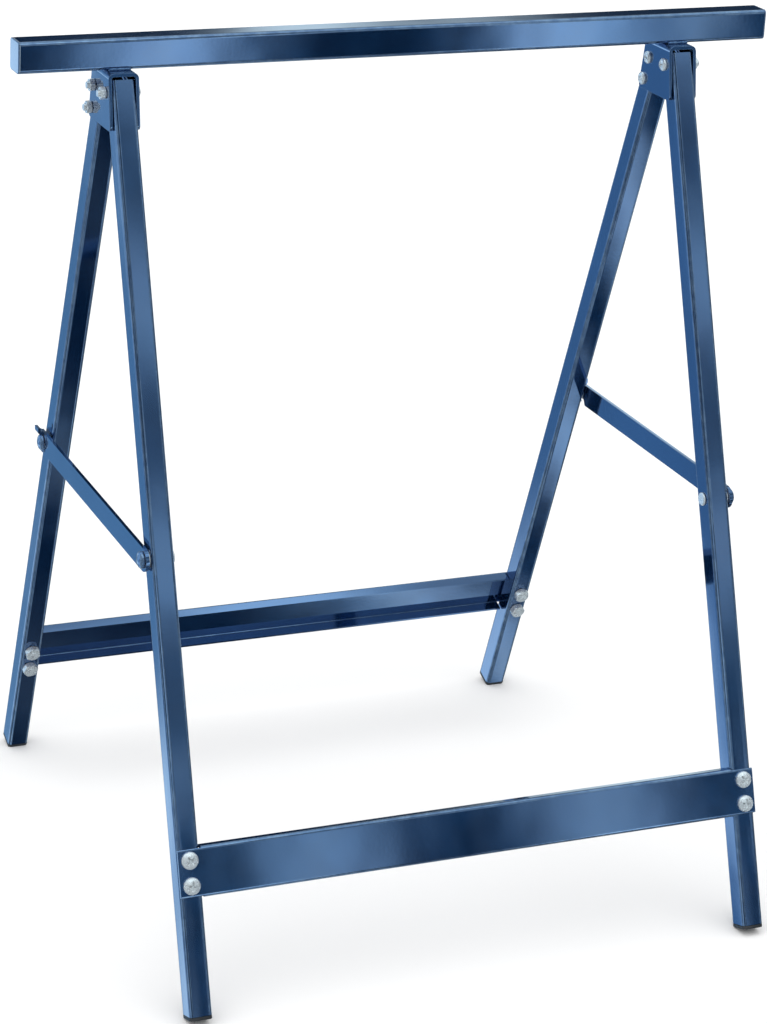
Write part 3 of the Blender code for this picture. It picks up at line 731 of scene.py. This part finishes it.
def make_beam(tubes, enamel):
    low, high = reach("top_beam")
    size = high - low
    tube = stock(tubes, size.y, size.z, BEAM_WALL, BEAM_CORNER, size.x, enamel)
    middle = (low + high) / 2
    place = Matrix.Translation((low.x, middle.y, middle.z)) @ ALONG_X
    finished("beam_tube", moved(tube, place), "stand", enamel, ["top_beam"])
    for side, _ in SIDES:
        node = "beam_end_plate_" + side
        low, high = reach(node)
        size = high - low
        outline = rounded_rectangle(size.y, size.z, BEAM_CORNER)
        plate = eased(moved(slab(outline, size.x), ALONG_X), 0.0006)
        middle = Matrix.Translation((low + high) / 2)
        finished("end_plate_" + side, moved(plate, middle), "stand", enamel, [node])


def rail_screw_heights(pair):
    space = LEG_SPACES[pair]
    heights = []
    for level in ("upper", "lower"):
        low, high = reach(f"{pair}_rail_screw_right_{level}", space)
        heights.append((low.z + high.z) / 2)
    return heights


def make_legs(tubes, enamel):
    for pair, body in (("back", "stand"), ("front", "front_frame")):
        space = LEG_SPACES[pair]
        for side, sign in SIDES:
            node = f"{pair}_leg_{side}"
            low, high = reach(node, space)
            size = high - low
            tube = stock(tubes, size.x, size.y, LEG_WALL, LEG_CORNER, size.z, enamel)
            middle = (low + high) / 2
            shift = Matrix.Translation((middle.x, middle.y, low.z))
            bolts = [(middle.x, 0.0, 0.0)]
            brace_hole = rods([(middle.x, 0.0, -BRACE_DROP)], HOLE_RADIUS, 2 * size.x, ALONG_X)
            if pair == "back":
                lower = reach("head_bolt_right_lower", space)
                bolts.append((middle.x, 0.0, (lower[0].z + lower[1].z) / 2))
                outer_face = high.x if sign > 0 else low.x
                brace_hole = rods(
                    [(outer_face, 0.0, -BRACE_DROP)], HOLE_RADIUS, 4 * LEG_WALL, ALONG_X)
            through = [(middle.x, 0.0, height) for height in rail_screw_heights(pair)]
            holes = joined([
                rods(bolts, HEAD_HOLE_RADIUS, 2 * size.x, ALONG_X), brace_hole,
                rods(through, HOLE_RADIUS, 2 * size.y, ALONG_Y)])
            tube = boolean(moved(tube, shift), holes)
            finished(f"{pair}_tube_{side}", moved(tube, space), body, enamel, [node])


def make_feet(plastic):
    """Plugs with a flange the size of the tube and ribs that grip its bore."""
    for pair, body in (("back", "stand"), ("front", "front_frame")):
        space = LEG_SPACES[pair]
        for side, _ in SIDES:
            node = f"foot_plug_{pair}_{side}"
            low, high = reach(node, space)
            size = high - low
            middle = (low + high) / 2
            flange = eased(slab(rounded_rectangle(size.x, size.y, LEG_CORNER), FOOT_FLANGE), 0.0005)
            flange = moved(flange, Matrix.Translation((middle.x, middle.y, low.z + FOOT_FLANGE / 2)))
            inset = 2 * (LEG_WALL + GAP)
            height = size.z - FOOT_FLANGE
            wide, deep = size.x - inset, size.y - inset
            bore = rounded_rectangle(wide - PLUG_EASE, deep - PLUG_EASE, PLUG_CORNER)
            shank = moved(slab(bore, height), Matrix.Translation(
                (middle.x, middle.y, high.z - height / 2)))
            rib = slab(rounded_rectangle(wide, deep, PLUG_CORNER), RIB_SHEET)
            ribs = [moved(rib, Matrix.Translation((middle.x, middle.y, high.z - down)))
                    for down in RIB_DROPS]
            plug = joined([flange, shank] + ribs)
            finished(
                f"foot_{pair}_{side}", moved(plug, space), body, plastic, [node])


# Sheet pieces

def rail_outline(height, flange):
    """A channel in (out, up): the web's outer face is at 0 and the flanges run to -flange."""
    half = height / 2
    inner = RAIL_BEND - RAIL_SHEET
    points = [(-flange, half)]
    points += arc((-RAIL_BEND, half - RAIL_BEND), RAIL_BEND, 90, 0, BEND_STEPS)
    points += arc((-RAIL_BEND, -half + RAIL_BEND), RAIL_BEND, 0, -90, BEND_STEPS)
    points += [(-flange, -half), (-flange, -half + RAIL_SHEET)]
    points += arc((-RAIL_BEND, -half + RAIL_BEND), inner, -90, 0, BEND_STEPS)
    points += arc((-RAIL_BEND, half - RAIL_BEND), inner, 0, 90, BEND_STEPS)
    points.append((-flange, half - RAIL_SHEET))
    return points


def make_rails(enamel):
    """Channels whose web runs on over the legs as flat tabs."""
    for pair, body, out in (("back", "stand", 1), ("front", "front_frame", -1)):
        space = LEG_SPACES[pair]
        node = pair + "_rail"
        low, high = reach(node, space)
        size = high - low
        middle = (low + high) / 2
        web_face = high.y if out > 0 else low.y
        turn = Matrix.Rotation(0.0 if out > 0 else math.pi, 4, "Z")
        place = Matrix.Translation((middle.x, web_face, middle.z)) @ turn
        rail = moved(slab(rail_outline(size.z, size.y), size.x), ALONG_X)
        leg_inner = reach(pair + "_leg_right", space)[0].x - RAIL_NOTCH
        cut_length = size.x / 2 - leg_inner + 0.001
        tab = RAIL_TAB_HEIGHT / 2
        past = size.z
        notch = [
            (-2 * size.y, -past), (size.y, -past), (size.y, -tab), (-RAIL_SHEET, -tab),
            (-RAIL_SHEET, tab), (size.y, tab), (size.y, past), (-2 * size.y, past)]
        notches = []
        for _, sign in SIDES:
            shift = Matrix.Translation((sign * (leg_inner + cut_length / 2), 0.0, 0.0))
            notches.append(moved(slab(notch, cut_length), ALONG_X, shift))
        rail = boolean(rail, joined(notches))
        leg_low, leg_high = reach(pair + "_leg_right", space)
        leg_middle = (leg_low.x + leg_high.x) / 2
        holes = []
        for height in rail_screw_heights(pair):
            for _, sign in SIDES:
                holes.append((sign * leg_middle, 0.0, height - middle.z))
        rail = boolean(rail, rods(holes, HOLE_RADIUS, 4 * RAIL_SHEET, ALONG_Y))
        finished(
            pair + "_channel", moved(eased(rail), place, space), body, enamel, [node])


def make_brackets(enamel):
    """U-shaped brackets bent from sheet, wider at the foot, open downwards."""
    for side, _ in SIDES:
        node = "head_bracket_" + side
        low, high = reach(node)
        size = high - low
        middle = (low + high) / 2
        outer = size.x / 2
        inner = outer - BRACKET_SHEET
        inner_bend = BRACKET_BEND - BRACKET_SHEET
        points = [(-outer, -size.z)]
        points += arc((-outer + BRACKET_BEND, -BRACKET_BEND), BRACKET_BEND, 180, 90, BEND_STEPS)
        points += arc((outer - BRACKET_BEND, -BRACKET_BEND), BRACKET_BEND, 90, 0, BEND_STEPS)
        points += [(outer, -size.z), (inner, -size.z)]
        points += arc((inner - inner_bend, -BRACKET_BEND), inner_bend, 0, 90, BEND_STEPS)
        points += arc((-inner + inner_bend, -BRACKET_BEND), inner_bend, 90, 180, BEND_STEPS)
        points.append((-inner, -size.z))
        top = [v.co.y for v in frame["nodes"][node].data.vertices if v.co.z > high.z - 0.0005]
        top_half = (max(top) - min(top)) / 2
        foot_half = size.y / 2
        slope = math.atan2(foot_half - top_half, size.z)
        inset = BRACKET_CORNER * math.tan((math.pi / 2 + slope) / 2)
        centre = (foot_half - inset, -size.z + BRACKET_CORNER)
        right = arc(centre, BRACKET_CORNER, math.degrees(slope), -90, BEND_STEPS)
        left = [(-y, z) for y, z in reversed(right)]
        lift = BRACKET_SHEET
        above = top_half - lift * math.tan(slope)
        outline = [(-above, lift), (above, lift)] + right + left
        sheet = moved(slab(points, 2 * size.y), ALONG_Y)
        bracket = boolean(sheet, moved(slab(outline, 2 * size.x), ALONG_X), "INTERSECT")
        holes = []
        for name in ("front", "upper", "lower"):
            bolt = reach(f"head_bolt_{side}_{name}")
            holes.append((0.0, (bolt[0].y + bolt[1].y) / 2, (bolt[0].z + bolt[1].z) / 2 - high.z))
        bracket = boolean(bracket, rods(holes, HEAD_HOLE_RADIUS, 2 * size.x, ALONG_X))
        place = Matrix.Translation((middle.x, middle.y, high.z))
        finished(
            "saddle_" + side, moved(eased(bracket), place), "stand", enamel, [node])


def hook_way(span):
    """The way the stud leaves the hook in (along, up) as the front frame starts to fold."""
    ratio = frame["record"]["behaviour"]["couplings"][0]["ratio"]
    arm = Vector((-BRACE_DROP * math.sin(LEAN), -BRACE_DROP * math.cos(LEAN)))
    stud = Vector((arm.y, -arm.x))
    return (stud - Vector((0.0, span)) * (1 + ratio)).normalized()


def make_braces(enamel):
    """Flat bars with a round end on the rivet, an open hook on the stud and a thumb tab."""
    for side, sign in SIDES:
        node = "brace_" + side
        pin = PINS[node + "_swing"]
        low, high = reach(node)
        stud_low, stud_high = reach("hook_stud_" + side)
        span = (stud_low.y + stud_high.y) / 2 - pin.y
        half = pin.y - low.y
        end = high.y - pin.y - HOOK_CORNER
        thick = BRACKET_SHEET
        outline = arc((0.0, 0.0), half, 90, 270, 2 * BEND_STEPS)
        outline += arc((end, -half + HOOK_CORNER), HOOK_CORNER, -90, 0, BEND_STEPS)
        outline += arc((end, half - HOOK_CORNER), HOOK_CORNER, 0, 90, BEND_STEPS)
        bar = moved(slab(outline, thick), ALONG_X)
        top = half - GAP
        out = thick / 2 + TAB_REACH
        section = [(0.0, top - TAB_SHEET)]
        section += arc((out - TAB_SHEET, top), TAB_SHEET, -90, 0, BEND_STEPS)
        section += [(out, top + TAB_LIP), (out - TAB_SHEET, top + TAB_LIP)]
        section += [(out - TAB_SHEET, top), (0.0, top)]
        section = [(sign * x, z) for x, z in section]
        middle = end + HOOK_CORNER - TAB_END - TAB_LENGTH / 2
        tab = moved(slab(section, TAB_LENGTH), ALONG_Y, Matrix.Translation((0.0, middle, 0.0)))
        brace = boolean(bar, tab, "UNION")
        radius = BOLT_RADIUS + HOOK_PLAY
        way = hook_way(span)
        heading = math.degrees(math.atan2(way.y, way.x))
        seat = Vector((span, 0.0))
        mouth = seat + way * 2 * half
        beside = Vector((-way.y, way.x)) * (radius + HOOK_MOUTH)
        slot = arc(seat, radius, heading + 90, heading + 270, 2 * BEND_STEPS)
        slot += [tuple(mouth - beside), tuple(mouth + beside)]
        brace = boolean(brace, moved(slab(slot, 4 * thick), ALONG_X))
        brace = boolean(brace, rods([(0.0, 0.0, 0.0)], HOLE_RADIUS, 4 * thick, ALONG_X))
        place = Matrix.Translation(pin)
        finished(
            "side_brace_" + side, moved(eased(brace), place), node, enamel, [node])


# Fasteners

def points_mesh(places):
    """A point at each place, with the way it faces and its turn about that."""
    mesh = bpy.data.meshes.new("places")
    mesh.from_pydata([tuple(place) for place, _, _ in places], [], [])
    axis = mesh.attributes.new("axis", "FLOAT_VECTOR", "POINT")
    axis.data.foreach_set("vector", [part for _, way, _ in places for part in way])
    turn = mesh.attributes.new("turn", "FLOAT", "POINT")
    turn.data.foreach_set("value", [angle for _, _, angle in places])
    return mesh


def head_place(node, space, way, inside):
    """Where a fastener stands: its middle, at the end of its box that its head grows from."""
    low, high = reach(node, space)
    middle = (low + high) / 2
    index = max(range(3), key=lambda i: abs(way[i]))
    middle[index] = (high[index] - inside) if way[index] > 0 else (low[index] + inside)
    return space @ middle, space.to_3x3() @ Vector(way)


def make_screws(screws, nuts, zinc):
    """Head bolts run outward to their nuts, and rail screws run through rail and leg."""
    bolts, bolt_nuts, bolt_nodes, nut_nodes = [], [], [], []
    turn = 0.35  # grows from one to the next, so that no two recesses stand alike
    for side, sign in SIDES:
        for name in ("front", "upper", "lower"):
            turn += 1.17
            bolt = f"head_bolt_{side}_{name}"
            place, way = head_place(bolt, LEVEL, (-sign, 0.0, 0.0), HEAD_HEIGHT * HEAD_BOLT_SCALE)
            bolts.append((place, way, turn))
            bolt_nodes.append(bolt)
            nut = f"head_nut_{side}_{name}"
            low, high = reach(nut)
            place, way = head_place(nut, LEVEL, (sign, 0.0, 0.0), high.x - low.x)
            bolt_nuts.append((place, way, turn * 0.7))
            nut_nodes.append(nut)
    low, high = reach(bolt_nodes[0])
    size = HEAD_BOLT_SCALE
    length = high.x - low.x - HEAD_HEIGHT * size
    nut_low, nut_high = reach(nut_nodes[0])
    made = grown(screws, points_mesh(bolts), {
        "Head Radius": HEAD_RADIUS * size, "Head Height": HEAD_HEIGHT * size, "Rim": HEAD_RIM * size,
        "Shank Radius": BOLT_RADIUS * size, "Pitch": HEAD_BOLT_PITCH,
        "Thread Depth": THREAD_DEPTH * size, "Recess Span": RECESS_SPAN * size,
        "Recess Width": RECESS_WIDTH * size, "Recess Depth": RECESS_DEPTH * size,
        "Length": length, "Plain Length": length - THREAD_LENGTH, "Material": zinc})
    finished("head_bolts", made, "stand", zinc, bolt_nodes)
    made = grown(nuts, points_mesh(bolt_nuts), {
        "Across Flats": NUT_ACROSS_FLATS * size, "Bore Radius": BOLT_RADIUS * size + BORE_PLAY,
        "Height": nut_high.x - nut_low.x, "Material": zinc})
    finished("head_nuts", made, "stand", zinc, nut_nodes)
    for pair, body, out in (("back", "stand", 1), ("front", "front_frame", -1)):
        space = LEG_SPACES[pair]
        heads, backs, head_nodes, back_nodes = [], [], [], []
        for side, _ in SIDES:
            for level in ("upper", "lower"):
                turn += 0.83
                screw = f"{pair}_rail_screw_{side}_{level}"
                place, way = head_place(screw, space, (0.0, out, 0.0), HEAD_HEIGHT)
                heads.append((place, way, turn))
                head_nodes.append(screw)
                nut = f"{pair}_rail_nut_{side}_{level}"
                low, high = reach(nut, space)
                place, way = head_place(nut, space, (0.0, -out, 0.0), high.y - low.y)
                backs.append((place, way, turn * 0.6))
                back_nodes.append(nut)
        screw_low, screw_high = reach(head_nodes[0], space)
        length = screw_high.y - screw_low.y - HEAD_HEIGHT
        made = grown(screws, points_mesh(heads), {
            "Length": length, "Plain Length": length - THREAD_LENGTH, "Material": zinc})
        finished(pair + "_rail_screws", made, body, zinc, head_nodes)
        made = grown(nuts, points_mesh(backs), {"Height": high.y - low.y, "Material": zinc})
        finished(pair + "_rail_nuts", made, body, zinc, back_nodes)


def domed_head():
    crown = HEAD_HEIGHT - HEAD_RIM
    profile = [(0.0, HEAD_HEIGHT)]
    for radius, height in arc((0.0, 0.0), 1.0, 90, 0, 10)[1:]:
        profile.append((HEAD_RADIUS * radius, HEAD_RIM + crown * height))
    profile += [(HEAD_RADIUS, 0.0003), (HEAD_RADIUS - 0.0003, 0.0)]
    return profile


def paint_head(piece, enamel):
    """Enamels the head, which is sprayed with the frame, and leaves the rest bright."""
    piece.data.materials.append(enamel)
    outer = max(abs(vertex.co.x) for vertex in piece.data.vertices)
    for polygon in piece.data.polygons:
        if abs(polygon.center.x) > outer - HEAD_HEIGHT + TURNED_EASE:
            polygon.material_index = 1


def brace_fastener(name, node, body, profile, sign, zinc):
    """A piece turned from a profile with its head's seat at 0, laid on its node's middle line."""
    low, high = reach(node)
    face = (high.x - HEAD_HEIGHT) if sign > 0 else (low.x + HEAD_HEIGHT)
    outward = Matrix.Rotation(sign * math.pi / 2, 4, "Y")
    place = Matrix.Translation((face, (low.y + high.y) / 2, (low.z + high.z) / 2))
    mesh = moved(turned(profile), outward, place)
    return finished(name, mesh, body, zinc, [node])


def make_rivets(zinc, enamel):
    """Brace rivets with a flat tail inside the leg, their washers, and the shouldered studs."""
    for side, sign in SIDES:
        node = "brace_rivet_" + side
        low, high = reach(node)
        length = high.x - low.x - HEAD_HEIGHT
        radius = RIVET_TAIL_RADIUS
        profile = domed_head() + [(BOLT_RADIUS, 0.0), (BOLT_RADIUS, -length + RIVET_TAIL_HEIGHT)]
        profile += [(radius, -length + RIVET_TAIL_HEIGHT), (radius, -length + 0.0008)]
        profile += [(radius - 0.0008, -length + 0.0001), (radius - 0.0014, -length)]
        profile += [(0.0016, -length), (0.0008, -length + 0.0004), (0.0, -length + 0.0004)]
        paint_head(brace_fastener("rivet_" + side, node, "front_frame", profile, sign, zinc), enamel)
        node = "brace_washer_" + side
        low, high = reach(node)
        outer, half = (high.y - low.y) / 2, (high.x - low.x) / 2
        profile = [
            (HOLE_RADIUS, half), (outer - TURNED_EASE, half), (outer, half - TURNED_EASE),
            (outer, -half + TURNED_EASE), (outer - TURNED_EASE, -half), (HOLE_RADIUS, -half),
            (HOLE_RADIUS, half)]
        outward = Matrix.Rotation(sign * math.pi / 2, 4, "Y")
        place = Matrix.Translation((low + high) / 2)
        finished(
            "washer_" + side, moved(turned(profile), outward, place), "front_frame", zinc, [node])
        node = "hook_stud_" + side
        low, high = reach(node)
        length = high.x - low.x - HEAD_HEIGHT
        collar, radius = -length + STUD_COLLAR_HEIGHT, STUD_SHOULDER_RADIUS
        shoulder = -(BRACKET_SHEET + 2 * GAP)
        profile = domed_head() + [(BOLT_RADIUS, 0.0), (BOLT_RADIUS, shoulder)]
        profile += [(radius - TURNED_EASE, shoulder), (radius, shoulder - TURNED_EASE)]
        profile += [(radius, shoulder - WASHER_SHEET), (BOLT_RADIUS, shoulder - WASHER_SHEET)]
        radius = STUD_COLLAR_RADIUS
        profile += [(BOLT_RADIUS, collar), (radius, collar)]
        profile += [(radius, -length + 0.0004), (radius - 0.0004, -length), (0.0, -length)]
        paint_head(brace_fastener("stud_" + side, node, "stand", profile, sign, zinc), enamel)


def make_welds(welds, material):
    """Short beads where each saddle meets the beam's two lower corners."""
    beam_low, beam_high = reach("top_beam")
    verts, edges = [], []
    for side, _ in SIDES:
        low, high = reach("head_bracket_" + side)
        z = high.z + WELD_LIFT
        for y in (beam_low.y + WELD_INSET, beam_high.y - WELD_INSET):
            verts += [(low.x + WELD_END, y, z), (high.x - WELD_END, y, z)]
            edges.append((len(verts) - 2, len(verts) - 1))
    base = bpy.data.meshes.new("weld_lines")
    base.from_pydata(verts, edges, [])
    made = grown(welds, base, {
        "Ripple": WELD_RIPPLE, "Radius": WELD_RADIUS, "Seed": 3, "Material": material})
    finished("saddle_welds", made, "stand", material, [])


# Floor, light and camera

def make_floor():
    work = bmesh.new()
    bmesh.ops.create_circle(work, cap_ends=True, radius=FLOOR_RADIUS, segments=96)
    mesh = bpy.data.meshes.new("floor")
    work.to_mesh(mesh)
    work.free()
    mesh.transform(Matrix.Translation((0.0, 0.0, cad_box[0][2])))
    material, tree, shader, place = new_material("pale_floor")
    tone = remap(tree, noise(tree, place, 1.5, 2.0), 0.3, 0.7, 0.93, 0.95)
    pale = step(tree, "ShaderNodeCombineColor", {0: tone, 1: tone, 2: tone})
    feed(tree, shader.inputs["Base Color"], pale)
    sheen = remap(tree, noise(tree, place, 30.0), 0.3, 0.7, 0.75, 0.85)
    feed(tree, shader.inputs["Roughness"], sheen)
    shader.inputs["Specular IOR Level"].default_value = 0.0
    mesh.materials.append(material)
    floor = placed("floor", mesh)
    floor.visible_glossy = False


def panels(tree, azimuth, height):
    """Two upright panels ahead, a strip at their side, and tiers above and beside them."""
    across = calc(tree, "SUBTRACT", azimuth, PANEL_MIDDLE)
    off = calc(tree, "ABSOLUTE", across)
    spacing = calc(tree, "MULTIPLY_ADD", height, -0.061, PANEL_SPACING)
    strength = calc(tree, "MULTIPLY_ADD", height, -0.024, 0.86)
    pair = hump(tree, calc(tree, "SUBTRACT", off, spacing), PANEL_WIDTH)
    pair = times(tree, pair, strength)
    strip = hump(tree, calc(tree, "SUBTRACT", across, STRIP_PLACE), STRIP_WIDTH)
    low = remap(tree, height, -6.0, 0.0, 0.55, 0.0)
    pair = calc(tree, "MULTIPLY_ADD", strip, low, pair)
    above = calc(tree, "SUBTRACT", height, TIER_HEIGHT)
    tiers = ripple(tree, calc(tree, "MULTIPLY_ADD", across, TIER_TILT, above), TIER_PERIOD)
    tiers = calc(tree, "MULTIPLY_ADD", tiers, 0.42, 0.14)
    beside = times(
        tree, remap(tree, off, 5.2, 6.2, 0.0, 1.0), remap(tree, height, 0.0, 4.0, 0.0, 1.0))
    upper = calc(tree, "MAXIMUM", beside, remap(tree, height, 9.0, 11.0, 0.0, 1.0))
    ahead = mixed_value(tree, upper, pair, tiers)
    away = calc(
        tree, "MAXIMUM", remap(tree, off, 8.0, 11.0, 0.0, 1.0),
        remap(tree, calc(tree, "ABSOLUTE", height), 25.0, 32.0, 0.0, 1.0))
    return ahead, away


def floor_rows(tree, azimuth, height):
    """Rows low down, dim but for one on the right, and where they show."""
    rows = ripple(tree, calc(tree, "SUBTRACT", height, ROW_HEIGHT), ROW_PERIOD)
    dim = remap(tree, height, -57.5, -55.5, 0.27, 0.06)
    dim = times(tree, dim, remap(tree, height, -60.0, -58.5, 0.3, 1.0))
    right = times(
        tree, remap(tree, azimuth, 33.0, 39.0, 0.0, 0.9),
        remap(tree, height, -57.6, -56.4, 0.06, 1.0))
    rows = times(tree, rows, calc(tree, "MAXIMUM", dim, right))
    shown = times(
        tree, remap(tree, height, -66.0, -62.0, 0.0, 1.0),
        remap(tree, height, -43.0, -39.0, 1.0, 0.0))
    across = calc(tree, "ABSOLUTE", calc(tree, "SUBTRACT", azimuth, ROW_MIDDLE))
    return rows, times(tree, shown, remap(tree, across, 18.0, 22.0, 1.0, 0.0))


def make_light():
    """A soft overhead light, and a studio of pale and dark panels for the enamel to mirror."""
    lamp = bpy.data.lights.new("overhead", "SUN")
    lamp.energy = 2.3
    lamp.angle = math.radians(100)
    light = placed("overhead", lamp)
    light.rotation_euler = (math.radians(14), math.radians(-10), 0.0)
    light.visible_glossy = False
    world = bpy.data.worlds.new("studio")
    world.use_nodes = True
    tree = world.node_tree
    background = next(node for node in tree.nodes if node.bl_idname == "ShaderNodeBackground")
    way = step(tree, "ShaderNodeTexCoord", output="Generated")
    x, y, z = parts_of(tree, way)
    azimuth = calc(tree, "ARCTAN2", x, times(tree, y, -1.0))
    azimuth = times(tree, azimuth, DEGREES)
    height = times(tree, calc(tree, "ARCSINE", z), DEGREES)
    ahead, away = panels(tree, azimuth, height)
    cloud = remap(tree, noise(tree, way, CLOUD_SCALE, 1.0), 0.36, 0.64, 0.0, 1.0)
    clouds = times(tree, calc(tree, "POWER", cloud, 2.6), 0.7)
    mixed = mixed_value(tree, away, ahead, clouds)
    rows, shown = floor_rows(tree, azimuth, height)
    mixed = mixed_value(tree, shown, mixed, rows)
    shade = times(
        tree, remap(tree, y, 0.5, 0.7, 0.0, 0.7), remap(tree, z, 0.33, 0.37, 0.0, 1.0))
    kept = calc(tree, "MULTIPLY_ADD", shade, -MIRROR_LEVEL, MIRROR_LEVEL)
    level = times(tree, mixed, kept)
    level = calc(tree, "ADD", level, remap(tree, z, 0.45, 0.9, 0.0, 0.6))
    behind = times(
        tree, remap(tree, x, -0.24, -0.12, 1.0, 0.0), remap(tree, y, 0.3, 0.6, 0.0, 1.0))
    parts = []
    for tint, least, side_light in zip(MIRROR_TINT, MIRROR_LEAST, SIDE_LIGHT):
        plain = calc(tree, "MULTIPLY_ADD", level, tint, least)
        parts.append(calc(tree, "MULTIPLY_ADD", behind, side_light, plain))
    mirrored = step(tree, "ShaderNodeCombineColor", dict(enumerate(parts)))
    diffuse = step(tree, "ShaderNodeLightPath", output="Is Diffuse Ray")
    even = blend(tree, diffuse, mirrored, ROOM_GREY)
    seen = step(tree, "ShaderNodeLightPath", output="Is Camera Ray")
    tree.links.new(blend(tree, seen, even, BACKDROP), background.inputs["Color"])
    bpy.context.scene.world = world
    bpy.context.scene.view_settings.view_transform = "Standard"


def make_camera():
    data = bpy.data.cameras.new("camera")
    data.lens = 104.57
    data.sensor_width = 36.0
    data.shift_x = 0.0979
    data.shift_y = -0.1372
    data.clip_start = 0.1
    data.clip_end = 60.0
    camera = placed("camera", data)
    camera.matrix_world = (
        Matrix.Translation((-1.02248, -2.31943, 1.32483))
        @ Matrix.Rotation(-0.3787, 4, "Z")
        @ Matrix.Rotation(math.pi / 2 - 0.3298, 4, "X")
        @ Matrix.Rotation(0.0415, 4, "Z"))
    bpy.context.scene.camera = camera


make_camera()
make_floor()
make_light()
ENAMEL = blue_enamel()
ZINC = bright_zinc()
PLASTIC = black_plastic()
TUBES = tube_tree()
make_beam(TUBES, ENAMEL)
make_legs(TUBES, ENAMEL)
make_feet(PLASTIC)
make_rails(ENAMEL)
make_brackets(ENAMEL)
make_braces(ENAMEL)
make_screws(screw_tree(), nut_tree(), ZINC)
make_rivets(ZINC, ENAMEL)
make_welds(weld_tree(), welded_enamel(ENAMEL))
